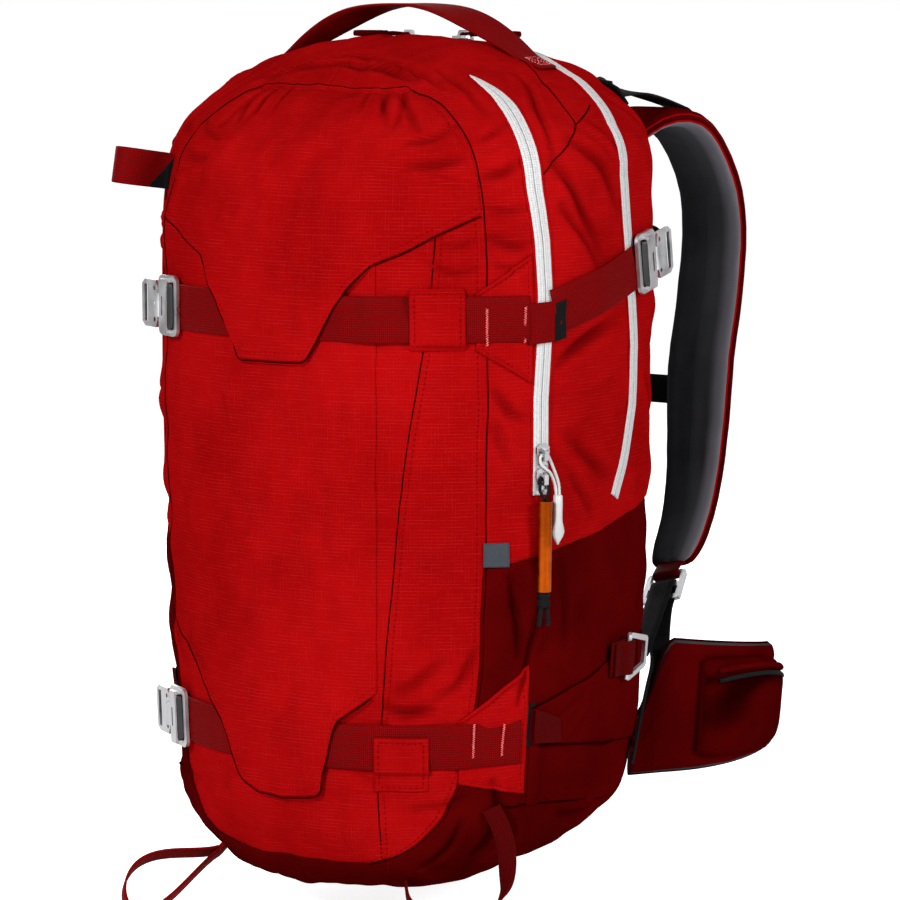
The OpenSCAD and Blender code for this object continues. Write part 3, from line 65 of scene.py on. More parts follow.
# Sizes of the bag, as in the CAD source
BAG_W = 308
FRONT_D = 134
BACK_D = 99
BAG_H = 530
LUMBAR_H = 110
LUMBAR_T = 18
BASE_RISE = 16
SEAM = 0.4
BASE_Z = -LUMBAR_H
HOOD_START = 0.852
HOOD_FRONT_START = 0.78
HOOD_BACK_START = 0.925
FOOT_SIDE_START = 0.11
FOOT_FRONT_START = 0.10
FOOT_BACK_START = 0.11
FOOT_SIDE_KEEP = 0.60
FOOT_FRONT_KEEP = 0.72
FOOT_BACK_KEEP = 0.70
HOOD_POWER = 1.9
FRONT_POWER = 2.2
FRONT_SHARP_POWER = 1.86
SHARPEN_START = 0.72
BACK_POWER = 4.2
WAIST_DRAW = 0.16
WAIST_TOP = 0.6
RISE_FADE = 6

# Seams, as angles around the bag from +X towards the wearer and as shares of its height
FRONT_SEAM = -38
FRONT_ZIP = -25.5
BACK_SEAM = 36
LOWER_SEAM_FRONT = 0.397
LOWER_SEAM_REAR = 0.455
HOOD_TIP = 0.9990
BASE_SEAM = 0.026

# Straps, tapes and their heights above the fabric
STRAP_W = 28
WEB_T = 1.6
TAPE_T = 0.9
UPPER_LEVEL = 362 / BAG_H
LOWER_LEVEL = 99 / BAG_H
TAPE_LIFT = SEAM
STRAP_LIFT = TAPE_LIFT + TAPE_T + SEAM
COVER_LIFT = STRAP_LIFT + WEB_T + SEAM
COVER_T = 1.6


# Small helpers


def unit(v):
    """Vectors of length one, along the last axis."""
    v = np.asarray(v, float)
    return v / np.maximum(np.linalg.norm(v, axis=-1, keepdims=True), 1e-12)


def mix(a, b, s):
    return a + (b - a) * s


def ease(s):
    """Smooth step from 0 to 1."""
    s = np.clip(s, 0, 1)
    return s * s * (3 - 2 * s)


def curve(points, steps):
    """Catmull-Rom curve through points, with steps samples between each pair."""
    p = np.asarray(points, float)
    n = len(p) - 1
    out = []
    for i in range(n):
        a, b, c, d = p[max(i - 1, 0)], p[i], p[i + 1], p[min(i + 2, n)]
        for k in range(steps):
            s = k / steps
            out.append(0.5 * (2 * b + (c - a) * s + (2 * a - 5 * b + 4 * c - d) * s**2
                              + (3 * b - a - 3 * c + d) * s**3))
    out.append(p[n])
    return np.array(out)


def headings(p):
    """Directions along a path of points."""
    after = np.vstack([p[1:], p[-1:]])
    before = np.vstack([p[:1], p[:-1]])
    return unit(after - before)


def lengths(p):
    """Running length along a path of points."""
    return np.concatenate([[0], np.cumsum(np.linalg.norm(np.diff(p, axis=0), axis=1))])


def resample(p, step):
    """The path again with points at about an even distance."""
    run = lengths(p)
    n = max(2, int(round(run[-1] / step)) + 1)
    at = np.linspace(0, run[-1], n)
    return np.stack([np.interp(at, run, p[:, k]) for k in range(p.shape[1])], -1)


def flip(p):
    """Mirrored to the other side of the bag."""
    return np.asarray(p, float) * np.array([-1, 1, 1])


# Surface of the bag


def dome(s):
    return np.maximum(0, 1 - np.clip(s, 0, 1) ** HOOD_POWER) ** (1 / HOOD_POWER)


def top_round(t, start):
    return np.where(t <= start, 1, dome((t - start) / (1 - start)))


def foot_round(t, start, keep):
    s = np.clip(t, 0, start) / start
    return keep + (1 - keep) * np.sqrt(np.maximum(0, 1 - (1 - s) ** 2))


def waist(t):
    return 1 - WAIST_DRAW * np.maximum(0, 1 - t / WAIST_TOP) ** 2


def half_w(t):
    return BAG_W / 2 * waist(t) * top_round(t, HOOD_START) * foot_round(t, FOOT_SIDE_START, FOOT_SIDE_KEEP)


def half_front(t):
    return FRONT_D * top_round(t, HOOD_FRONT_START) * foot_round(t, FOOT_FRONT_START, FOOT_FRONT_KEEP)


def half_back(t):
    return BACK_D * top_round(t, HOOD_BACK_START) * foot_round(t, FOOT_BACK_START, FOOT_BACK_KEEP)


AXIS_Y = float(-LUMBAR_T - SEAM - half_back(np.array(LUMBAR_H / BAG_H)))
BACK_Y = AXIS_Y + BACK_D


def bag(a, t):
    """Point on the bag at an angle and a share of the height."""
    a, t = np.broadcast_arrays(np.asarray(a, float), np.asarray(t, float))
    c, s = np.cos(np.radians(a)), np.sin(np.radians(a))
    back = s >= 0
    d = np.where(back, half_back(t), half_front(t))
    sharp = np.maximum(0, (t - SHARPEN_START) / (1 - SHARPEN_START))
    n = np.where(back, BACK_POWER, mix(FRONT_POWER, FRONT_SHARP_POWER, sharp))
    w = np.maximum(half_w(t), 1e-6)
    d = np.maximum(d, 1e-6)
    r = ((np.abs(c) / w) ** n + (np.abs(s) / d) ** n) ** (-1 / n)
    y = r * s
    z = BASE_Z + BAG_H * t + BASE_RISE * (1 - t) ** RISE_FADE * (y / (FRONT_D + BACK_D) + 0.5)
    return np.stack([r * c, AXIS_Y + y, z], -1)


def away_from(a, middle):
    """Degrees between two angles around the bag."""
    return np.abs((np.asarray(a, float) - middle + 180) % 360 - 180)


def bag_normal(a, t):
    """Direction out of the bag."""
    a, t = np.broadcast_arrays(np.asarray(a, float), np.asarray(t, float))
    around = bag(a + 0.2, t) - bag(a - 0.2, t)
    along = bag(a, np.minimum(t + 0.0006, 0.9998)) - bag(a, np.maximum(t - 0.0006, 0))
    return unit(np.cross(around, along))


def segment_distance(p, line):
    """Distance of points from a polyline, and the share of its length there."""
    flat = p.reshape(-1, 3)
    best = np.full(len(flat), 1e9)
    share = np.zeros(len(flat))
    run = lengths(line)
    for i in range(len(line) - 1):
        a, d = line[i], line[i + 1] - line[i]
        s = np.clip((flat - a) @ d / max(d @ d, 1e-9), 0, 1)
        away = np.linalg.norm(flat - a - s[:, None] * d, axis=1)
        near = away < best
        best[near] = away[near]
        share[near] = (mix(run[i], run[i + 1], s) / run[-1])[near]
    return best.reshape(p.shape[:-1]), share.reshape(p.shape[:-1])


def surface_line(points, steps=6):
    """Polyline on the bag through points of angle and height share."""
    q = curve(points, steps)
    return bag(q[:, 0], q[:, 1])


# Folds and seams of the fabric, each a line on the bag with a half width and a depth.
# A negative depth is a ridge. Lines are given on the right side and mirrored.
FOLDS = [
    # Main gusset between the two zips
    ([(-20, 0.86), (-12, 0.80), (-3, 0.735)], 7, 2.2),
    ([(-19, 0.81), (-11, 0.765), (-6, 0.73)], 5, 1.6),
    ([(-14, 0.885), (-5, 0.85), (2, 0.80)], 7, 1.8),
    ([(-19, 0.835), (-10, 0.79), (-4, 0.75)], 7, -1.6),
    ([(-8, 0.905), (0, 0.87), (3, 0.82)], 6, -1.4),
    ([(-20, 0.63), (-10, 0.655), (2, 0.675)], 8, 2.2),
    ([(-19, 0.60), (-8, 0.60), (4, 0.62)], 9, -1.2),
    ([(-18, 0.545), (-6, 0.50), (2, 0.48)], 8, 1.5),
    ([(-20, 0.52), (-12, 0.47), (-8, 0.445)], 6, 1.4),
    # Front gusset between the front seam and its zip
    ([(-38, 0.885), (-33, 0.895), (-29, 0.905)], 4, 1.4),
    ([(-39, 0.845), (-33, 0.85), (-28, 0.865)], 5, 1.8),
    ([(-38, 0.81), (-33, 0.805), (-27, 0.81)], 4, 1.3),
    ([(-38, 0.775), (-32, 0.765), (-27, 0.77)], 4.5, 1.7),
    ([(-37, 0.745), (-32, 0.74), (-28, 0.755)], 3.5, 1.2),
    ([(-38, 0.865), (-33, 0.872), (-28, 0.885)], 4, -1.2),
    ([(-38, 0.79), (-33, 0.785), (-27, 0.79)], 4, -1.2),
    ([(-37, 0.60), (-33, 0.575), (-28, 0.565)], 5, 1.6),
    ([(-37, 0.555), (-33, 0.52), (-29, 0.50)], 6, 1.5),
    ([(-37, 0.58), (-33, 0.55), (-29, 0.535)], 5, -1.0),
    # Hood behind the top seam
    ([(-120, 0.962), (-95, 0.968), (-70, 0.964), (-52, 0.952)], 5, 1.6),
    ([(-100, 0.980), (-80, 0.978), (-60, 0.968), (-45, 0.95)], 6, 1.4),
    ([(-75, 0.972), (-58, 0.962), (-44, 0.935)], 4, -1.2),
    ([(-42, 0.962), (-37, 0.94), (-34, 0.915)], 5, 1.2),
    ([(-12.5, 0.953), (-17, 0.93), (-19.4, 0.905), (-20, 0.872)], 4, 1.5),
    ([(-16, 0.955), (-21, 0.93), (-23, 0.905)], 5, -1.2),
    # Rear gusset
    ([(18, 0.93), (24, 0.88), (27, 0.82)], 6, 1.2),
    ([(16, 0.60), (24, 0.56), (30, 0.50)], 6, 1.0),
    # Front panel: drawn in under its top seam and beside its side seam
    ([(-122, 0.938), (-121, 0.92), (-119, 0.90)], 3.5, 1.3),
    ([(-116, 0.940), (-115, 0.925), (-114, 0.91)], 3, 1.1),
    ([(-108, 0.942), (-107, 0.93), (-107, 0.918)], 3, 0.8),
    ([(-66, 0.942), (-65, 0.925), (-64, 0.905)], 3.5, 1.0),
    ([(-59, 0.940), (-57, 0.92), (-54, 0.895)], 4, 1.3),
    ([(-44, 0.90), (-50, 0.888), (-58, 0.880)], 4, 1.2),
    ([(-43, 0.865), (-50, 0.858), (-57, 0.858)], 5, 1.4),
    ([(-42, 0.835), (-48, 0.838), (-53, 0.845)], 4, -1.0),
    ([(-41, 0.775), (-46, 0.765), (-50, 0.77)], 4, 1.0),
    ([(-41, 0.74), (-46, 0.735), (-52, 0.745)], 4, 1.2),
    # Front panel beside the lower strap
    ([(-63, 0.232), (-58, 0.226), (-52, 0.23)], 6, 2.0),
    ([(-61, 0.25), (-56, 0.262), (-50, 0.285)], 6, 1.3),
    ([(-50, 0.245), (-45, 0.262), (-41, 0.30)], 5, 1.4),
    ([(-43, 0.125), (-48, 0.115), (-56, 0.112)], 5, 1.0),
    # Lower side panels
    ([(-33, 0.385), (-31, 0.33), (-30, 0.29)], 4, 2.0),
    ([(-23.0, 0.425), (-25.2, 0.347), (-27.5, 0.285), (-29.8, 0.233)], 3.6, 1.8),
    ([(-19, 0.40), (-17, 0.34), (-16, 0.29)], 6, 1.2),
    ([(-27, 0.39), (-26, 0.34), (-25, 0.30)], 6, -1.4),
    ([(-36, 0.14), (-34, 0.09), (-38, 0.05)], 5, 2.2),
    ([(-30, 0.11), (-28, 0.07), (-34, 0.035)], 6, -1.8),
    ([(-44, 0.095), (-47, 0.06), (-54, 0.035)], 4, 1.5),
    ([(-14, 0.085), (-6, 0.07), (6, 0.065)], 6, 1.4),
]


def seam_lower(a):
    """Height share of the seam between the red and the dark fabric."""
    turned = (np.asarray(a, float) + 270) % 360 - 270
    side = np.where(np.cos(np.radians(turned)) >= 0, turned, -180 - turned)
    return mix(LOWER_SEAM_FRONT, LOWER_SEAM_REAR, (side - FRONT_SEAM) / (BACK_SEAM - FRONT_SEAM))


# Outline of the front panel: rounded at its corners, more so at the foot
FRONT_LOW = 0.041
FRONT_HIGH = 0.9435
FRONT_HALF = 51
FRONT_TOP_POWER = 8
FRONT_FOOT_POWER = 4


def front_half_angle(t):
    """Half the front panel's width, in degrees."""
    mid = (FRONT_LOW + FRONT_HIGH) / 2
    s = (t - mid) / (FRONT_HIGH - mid)
    power = np.where(s > 0, FRONT_TOP_POWER, FRONT_FOOT_POWER)
    return FRONT_HALF * np.maximum(0, 1 - np.abs(s) ** power) ** (1 / power)


# Angles of the two zips at shares of the height, as in the CAD source
FRONT_ZIP_COURSE = np.array([(0.4, -25.5), (0.536, -25.5), (0.588, -25.6), (0.657, -24.7), (0.708, -24.5),
                             (0.772, -25.1), (0.828, -26.5), (0.89, -26.8), (0.92, -27), (0.936, -28),
                             (0.949, -30.5), (0.956, -32.5)])
MAIN_ZIP_COURSE = np.array([
    (0.4, -3), (0.456, 0.5), (0.505, 5.5), (0.566, 9), (0.638, 9.8), (0.703, 8.2), (0.751, 6.8), (0.805, 5),
    (0.852, 3.6), (0.9, 4.6), (0.93, 9), (0.95, 14)])
MAIN_ZIP_STEPS = 28


def course_angle(course, t):
    return np.interp(t, course[:, 0], course[:, 1])


def main_zip_half():
    """Angle and height share along the main zip, from its foot to the middle of the hood."""
    low, turn, crest = 0.462, 0.95, 0.9925
    half = []
    for i in range(MAIN_ZIP_STEPS):
        t = mix(low, turn, i / MAIN_ZIP_STEPS)
        half.append((course_angle(MAIN_ZIP_COURSE, t), t))
    start = course_angle(MAIN_ZIP_COURSE, turn)
    for i in range(MAIN_ZIP_STEPS + 1):
        s = i / MAIN_ZIP_STEPS
        half.append((mix(start, 90, s * s), mix(turn, crest, math.sin(math.pi / 2 * s))))
    return half


def main_zip_path():
    """The main zip over the hood and down the other side."""
    half = main_zip_half()
    return np.array(half + [(180 - a, t) for a, t in half[-2::-1]])


def zip_lines():
    """The two zips of the right side as polylines in space."""
    levels = np.linspace(0.478, 0.955, 24)
    front = bag(course_angle(FRONT_ZIP_COURSE, levels), levels)
    main = np.array(main_zip_half())[::2]
    return front, bag(main[:, 0], main[:, 1])


# Calm fields that keep the fabric from being perfectly even
rng = np.random.default_rng(7)
WAVES = [
    (unit(rng.normal(size=3)) * 2 * np.pi / wave, rng.uniform(0, 2 * np.pi), high)
    for wave, high in [(95, 0.35), (70, 0.4), (52, 0.42), (38, 0.36), (27, 0.28), (19, 0.17), (14, 0.1)]
    for _ in range(3)
]

# Places where a rigid fitting lies on the fabric, which is flat there
FLAT_SPOTS = [(-128, UPPER_LEVEL, 42), (-128, LOWER_LEVEL, 42), (8, 388 / BAG_H, 42), (FRONT_ZIP, 0.51, 26),
              (9, 0.262, 28), (90, 0.99, 30), (-147, 0.838, 18)]


def crease(away, width):
    """Section of a fold: a narrow valley between two low shoulders."""
    return 1.45 * np.exp(-((away / (0.62 * width)) ** 2)) - 0.45 * np.exp(-((away / (1.7 * width)) ** 2))


FORMS = []


def cloth_form(a, t):
    """How far the fabric stands out of or into the smooth bag, and how much painted shade its folds get, 0 to
    1.
    """
    a, t = np.broadcast_arrays(np.asarray(a, float), np.asarray(t, float))
    for old_a, old_t, form in FORMS:
        if old_a.shape == a.shape and np.array_equal(old_a, a) and np.array_equal(old_t, t):
            return form
    p = bag(a, t)
    out = np.zeros(p.shape[:-1])
    deep = np.zeros(p.shape[:-1])
    for k, phase, high in WAVES:
        out += high * np.sin(p @ k + phase)
    left = flip(p)
    for line, width, depth in FOLDS:
        path = surface_line(line)
        for points, gain in ((p, 2.1), (left, 1.5)):
            away, share = segment_distance(points, path)
            taper = np.sin(np.pi * np.clip(0.12 + 0.76 * share, 0, 1)) ** 0.8
            out -= gain * depth * taper * crease(away, width)
            # Painted shade, strongest in the valleys of the folds, that darkens the cloth's colour
            deep += gain / 6.5 * max(depth, 0) * taper * np.exp(-((away / (0.55 * width)) ** 2))
    # The two front straps draw the fabric in
    front = ease((away_from(a, -90) - 64) / -8)
    for level in (UPPER_LEVEL, LOWER_LEVEL):
        away = (t - level) * BAG_H
        out -= front * (0.9 * np.exp(-((away / 15) ** 4)) - 0.8 * np.exp(-(((np.abs(away) - 30) / 14) ** 2)))
    calm = np.ones_like(out)
    for angle, level, radius in FLAT_SPOTS:
        away = np.linalg.norm(p - bag(angle, level), axis=-1)
        calm *= 1 - np.exp(-((away / radius) ** 4))
    # Zips are stiffer than the cloth beside them
    for line in zip_lines():
        for points in (p, left):
            away, _ = segment_distance(points, line)
            calm *= 1 - 0.93 * np.exp(-((away / 10.5) ** 2))
    form = out * calm, np.clip(deep * calm, 0, 0.9)
    FORMS.append((a.copy(), t.copy(), form))
    del FORMS[:-6]
    return form


def relief(a, t):
    return cloth_form(a, t)[0]


def skin(a, t, lift=0.0):
    """Point on the fabric, lifted off it."""
    h = relief(a, t) + lift
    return bag(a, t) + bag_normal(a, t) * h[..., None]


def even_line(points, step):
    """Angles and height shares along a line on the bag in even steps, and the length up to each."""
    q = np.asarray(points, float)
    run = lengths(bag(q[:, 0], q[:, 1]))
    at = np.linspace(0, run[-1], max(3, int(run[-1] / step)))
    return np.interp(at, run, q[:, 0]), np.interp(at, run, q[:, 1]), at


# Meshes


def make_object(name, vertices, faces, uv=None, materials=(), face_material=None):
    """A mesh in the scene, from points in millimetres, with a UV map in metres."""
    mesh = bpy.data.meshes.new(name)
    mesh.from_pydata((np.asarray(vertices) * MM).tolist(), [], [list(map(int, f)) for f in faces])
    if uv is not None:
        layer = mesh.uv_layers.new(name="UVMap")
        index = np.zeros(len(mesh.loops), int)
        mesh.loops.foreach_get("vertex_index", index)
        uv = np.asarray(uv, float)
        layer.data.foreach_set("uv", (uv[index, :2] * MM).astype(np.float32).ravel())
        # A third UV column is painted shading, kept as a point attribute
        if uv.shape[1] > 2:
            painted_shading = mesh.attributes.new("painted_shading", "FLOAT", "POINT")
            painted_shading.data.foreach_set("value", uv[:, 2].astype(np.float32))
    for material in materials:
        mesh.materials.append(material)
    if face_material is not None:
        mesh.polygons.foreach_set("material_index", np.asarray(face_material, np.int32))
    mesh.polygons.foreach_set("use_smooth", np.full(len(mesh.polygons), True))
    mesh.update()
    piece = bpy.data.objects.new(name, mesh)
    bpy.context.scene.collection.objects.link(piece)
    return piece


def grid_faces(rows, cols, base=0, turn=False):
    """Quads of a grid of points."""
    j, i = np.meshgrid(np.arange(rows - 1), np.arange(cols - 1), indexing="ij")
    k = (base + j * cols + i).ravel()
    quads = np.stack([k, k + 1, k + 1 + cols, k + cols], -1)
    return quads[:, ::-1] if turn else quads


def grid_uv(grid):
    """Lengths across and along a grid, measured from its middle column and first row."""
    across = np.linalg.norm(np.diff(grid, axis=1), axis=2)
    u = np.concatenate([np.zeros((len(grid), 1)), np.cumsum(across, axis=1)], 1)
    u -= u[:, [u.shape[1] // 2]]
    along = np.linalg.norm(np.diff(grid, axis=0), axis=2).mean(1)
    v = np.concatenate([[0], np.cumsum(along)])
    return np.stack([u, np.repeat(v[:, None], grid.shape[1], 1)], -1)


# Length of the cloth around the bag from the middle of its front, and up its front
AROUND = np.linspace(-270, 270, 721)
AROUND_RUN = lengths(bag(AROUND, 0.5))
AROUND_RUN = AROUND_RUN - np.interp(-90, AROUND, AROUND_RUN)
UPWARD = np.linspace(0, 0.999, 400)
UPWARD_RUN = lengths(bag(-90, UPWARD))


def cloth_uv(a, t):
    """UV of cloth on the bag, with threads that run around and up, and the painted shade of its folds."""
    a, t = np.broadcast_arrays(np.asarray(a, float), np.asarray(t, float))
    return np.stack([np.interp(a, AROUND, AROUND_RUN), np.interp(t, UPWARD, UPWARD_RUN),
                     cloth_form(a, t)[1]], -1)


def sheet_mesh(outer, inner, uv=None):
    """Points, faces and UV of a thick sheet between two grids."""
    rows, cols = outer.shape[:2]
    n = rows * cols
    faces = [grid_faces(rows, cols), grid_faces(rows, cols, n, True)]
    k = np.arange(cols - 1)
    last = (rows - 1) * cols + k
    faces.append(np.stack([k, k + n, k + n + 1, k + 1], -1))
    faces.append(np.stack([last, last + 1, last + 1 + n, last + n], -1))
    k = np.arange(rows - 1) * cols
    last = k + cols - 1
    faces.append(np.stack([k, k + cols, k + cols + n, k + n], -1))
    faces.append(np.stack([last, last + n, last + cols + n, last + cols], -1))
    uv = grid_uv(outer) if uv is None else uv
    uv = uv.reshape(-1, uv.shape[-1])
    points = np.concatenate([outer.reshape(-1, 3), inner.reshape(-1, 3)])
    return points, np.concatenate(faces), np.concatenate([uv, uv])


def cloth_sheet(a, t, outer, inner):
    """A sheet of cloth on the bag between two heights above its smooth form."""
    p, n = bag(a, t), bag_normal(a, t)
    sides = [p + n * np.broadcast_to(h, a.shape)[..., None] for h in (outer, inner)]
    return sheet_mesh(*sides, cloth_uv(a, t))


def tube_mesh(rings):
    """Points, faces and UV of a closed tube of rings, each with its first point repeated at its end."""
    rows, cols = rings.shape[:2]
    faces = [list(f) for f in grid_faces(rows, cols)]
    faces.append(list(range(cols - 2, -1, -1)))
    faces.append([(rows - 1) * cols + k for k in range(cols - 1)])
    return rings.reshape(-1, 3), faces, grid_uv(rings).reshape(-1, 2)


def join_meshes(parts):
    """One mesh's points, faces and UV from several."""
    points, faces, uv, base = [], [], [], 0
    for p, f, m in parts:
        points.append(p)
        faces += [[int(k) + base for k in face] for face in f]
        uv.append(m)
        base += len(p)
    wide = max(m.shape[1] for m in uv)
    uv = [np.pad(m, ((0, 0), (0, wide - m.shape[1]))) for m in uv]
    return np.concatenate(points), faces, np.concatenate(uv)


def as_is(mesh):
    return mesh


def mirrored(mesh):
    """The mesh on the other side of the bag."""
    points, faces, uv = mesh
    return flip(points), [list(f)[::-1] for f in faces], uv


def both(mesh):
    """A mesh and its mirror image."""
    return join_meshes([mesh, mirrored(mesh)])


SIDES = (("right", as_is), ("left", mirrored))


def spaced(length, step, edge):
    """Shares from 0 to 1 in even steps, closer together at both ends for a rolled edge."""
    near = np.array([0, 0.5, 1.2, 2.2, 3.6, 5.6]) * edge
    middle = np.linspace(near[-1], length - near[-1], max(2, int((length - 2 * near[-1]) / step)))
    return np.concatenate([near[:-1], middle, (length - near[:-1])[::-1]]) / length


def roll_off(s, length, edge, depth):
    """Drop towards both ends of a panel, as where its edge turns into a seam."""
    away = np.minimum(s, 1 - s) * length
    return -depth * (1 - np.sqrt(1 - np.clip(1 - away / (edge * 5.6), 0, 1) ** 2))


# Half of a webbing's section, as shares of its half width and half thickness, from one edge to the other
WEB_CORNER = 0.45
WEB_PROFILE = [(-1, WEB_CORNER), (-0.955, 1), (-0.5, 1), (0, 1), (0.5, 1), (0.955, 1), (1, WEB_CORNER)]


def ribbon_rings(path, sides, width, thick):
    """Rings of a flat webbing along a path, with rounded edges."""
    h = headings(path)
    s = unit(sides - h * (h * sides).sum(-1, keepdims=True))
    n = np.cross(h, s)
    profile = [(-1, -WEB_CORNER)] + WEB_PROFILE + [(x, -y) for x, y in WEB_PROFILE[::-1]]
    return np.stack([path + s * (width / 2 * x) + n * (thick / 2 * y) for x, y in profile], 1)


def ribbon_mesh(path, sides, width, thick, step):
    """Points, faces and UV of a webbing, where u runs across it and v along it."""
    fine = resample(np.hstack([path, np.broadcast_to(sides, path.shape)]), step)
    rings = ribbon_rings(fine[:, :3], unit(fine[:, 3:]), width, thick)
    points, faces, _ = tube_mesh(rings)
    u = np.linalg.norm(rings - rings[:, :1], axis=2)
    v = np.repeat(lengths(fine[:, :3])[:, None], rings.shape[1], 1)
    return points, faces, np.stack([u, v], -1).reshape(-1, 2)


def cord_mesh(path, diameter, sides=10):
    """Points, faces and UV of a round cord along a path."""
    h = headings(path)
    s = np.zeros_like(h)
    ref = unit(np.cross(h[0], [0, 0, 1] if abs(h[0][2]) < 0.9 else [0, 1, 0]))
    for i in range(len(path)):
        ref = unit(ref - h[i] * (h[i] @ ref))
        s[i] = ref
    n = np.cross(h, s)
    a = np.linspace(0, 2 * np.pi, sides + 1)
    ring = s[:, None] * np.cos(a)[None, :, None] + n[:, None] * np.sin(a)[None, :, None]
    return tube_mesh(path[:, None] + ring * diameter / 2)


# Materials


class Shader:
    """A node material with one main shader, and short ways to add what drives it."""

    def __init__(self, name):
        self.material = bpy.data.materials.new(name)
        self.material.use_nodes = True
        self.tree = self.material.node_tree
        self.main = self.tree.nodes["Principled BSDF"]

    def set(self, **values):
        for key, value in values.items():
            self.main.inputs[key.replace("_", " ")].default_value = value
        return self

    def node(self, kind, **values):
        n = self.tree.nodes.new(kind)
        for key, value in values.items():
            setattr(n, key, value)
        return n

    def link(self, out, into):
        self.tree.links.new(out, into)

    def uv(self):
        return self.node("ShaderNodeUVMap", uv_map="UVMap").outputs["UV"]

    def place(self):
        return self.node("ShaderNodeTexCoord").outputs["Object"]

    def math(self, op, a, b=None, c=None, clamp=False):
        n = self.node("ShaderNodeMath", operation=op, use_clamp=clamp)
        for k, value in enumerate((a, b, c)):
            if value is None:
                continue
            if isinstance(value, (int, float)):
                n.inputs[k].default_value = value
            else:
                self.link(value, n.inputs[k])
        return n.outputs[0]

    def split(self, vector):
        n = self.node("ShaderNodeSeparateXYZ")
        self.link(vector, n.inputs[0])
        return n.outputs

    def noise(self, vector, scale, detail=3.0, rough=0.5, stretch=None):
        if stretch is not None:
            m = self.node("ShaderNodeMapping")
            m.inputs["Scale"].default_value = stretch
            self.link(vector, m.inputs["Vector"])
            vector = m.outputs[0]
        n = self.node("ShaderNodeTexNoise")
        n.inputs["Scale"].default_value = scale
        n.inputs["Detail"].default_value = detail
        n.inputs["Roughness"].default_value = rough
        self.link(vector, n.inputs["Vector"])
        return n.outputs["Fac"]

    def lines(self, coordinate, pitch, width):
        """Mask of thin lines across a coordinate in metres, pitch and width in millimetres."""
        turn = self.math("FRACT", self.math("MULTIPLY", coordinate, 1 / (pitch * MM)))
        off = self.math("ABSOLUTE", self.math("SUBTRACT", turn, 0.5))
        return self.ramp(off, 0.5 - width / pitch / 2, 0.5)

    def wave(self, coordinate, pitch):
        """Sine of a coordinate in metres, from 0 to 1."""
        s = self.math("SINE", self.math("MULTIPLY", coordinate, 2 * math.pi / (pitch * MM)))
        return self.math("MULTIPLY_ADD", s, 0.5, 0.5)

    def ramp(self, value, low, high, to_low=0.0, to_high=1.0):
        n = self.node("ShaderNodeMapRange", interpolation_type="SMOOTHSTEP")
        n.inputs["From Min"].default_value = low
        n.inputs["From Max"].default_value = high
        n.inputs["To Min"].default_value = to_low
        n.inputs["To Max"].default_value = to_high
        self.link(value, n.inputs["Value"])
        return n.outputs[0]

    def blend(self, factor, a, b):
        n = self.node("ShaderNodeMix", data_type="RGBA")
        self.link(factor, n.inputs[0])
        for value, socket in ((a, n.inputs[6]), (b, n.inputs[7])):
            if isinstance(value, tuple):
                socket.default_value = (*value, 1)
            else:
                self.link(value, socket)
        return n.outputs[2]

    def painted_shading_colour(self, base, dark, light):
        """A colour with painted shading: darker (painted shade) where the shading is above 0, as in the
        folds, and lighter (painted light) where it is below 0.
        """
        painted_shading = self.node("ShaderNodeAttribute", attribute_name="painted_shading").outputs["Fac"]
        base = self.blend(self.math("MAXIMUM", painted_shading, 0.0), base, dark)
        return self.blend(self.math("MAXIMUM", self.math("MULTIPLY", painted_shading, -1.0), 0.0), base, light)

    def colour(self, out):
        self.link(out, self.main.inputs["Base Color"])
        return self

    def roughness(self, out):
        self.link(out, self.main.inputs["Roughness"])
        return self

    def bump(self, height, depth, strength=1.0):
        n = self.node("ShaderNodeBump")
        n.inputs["Strength"].default_value = strength
        n.inputs["Distance"].default_value = depth * MM
        self.link(height, n.inputs["Height"])
        self.link(n.outputs[0], self.main.inputs["Normal"])
        return self


def ripstop(name, deep, light, thread, pitch=2.1, rough=0.55):
    """Light coated cloth with a grid of thicker threads and uneven slubs."""
    m = Shader(name).set(Roughness=rough, Specular_IOR_Level=0.0)
    u, v, _ = m.split(m.uv())
    place = m.place()
    wide = m.noise(place, 14, 3)
    slub = m.noise(m.uv(), 1, 4, 0.6, stretch=(60, 900, 1))
    rise = m.noise(m.uv(), 1, 4, 0.6, stretch=(900, 60, 1))
    weft = m.math("MULTIPLY", m.lines(v, pitch, 0.62), m.ramp(slub, 0.36, 0.66))
    warp = m.math("MULTIPLY", m.lines(u, pitch, 0.52), m.ramp(rise, 0.40, 0.72))
    threads = m.math("MAXIMUM", weft, m.math("MULTIPLY", warp, 0.75))
    weave = m.math("MULTIPLY", m.wave(u, 0.62), m.wave(v, 0.62))
    base = m.blend(m.ramp(wide, 0.3, 0.7), deep, light)
    base = m.blend(m.math("MULTIPLY", slub, 0.35), base, deep)
    base = m.blend(m.math("MULTIPLY", threads, 0.42), base, thread)
    # Painted shade in the folds: there the colour darkens towards a sixth of the deep red
    m.colour(m.painted_shading_colour(base, tuple(c * 0.16 for c in deep), light))
    height = m.math("ADD", m.math("MULTIPLY", threads, 0.7), m.math("MULTIPLY", weave, 0.35))
    return m.bump(height, 0.16, 0.7).material


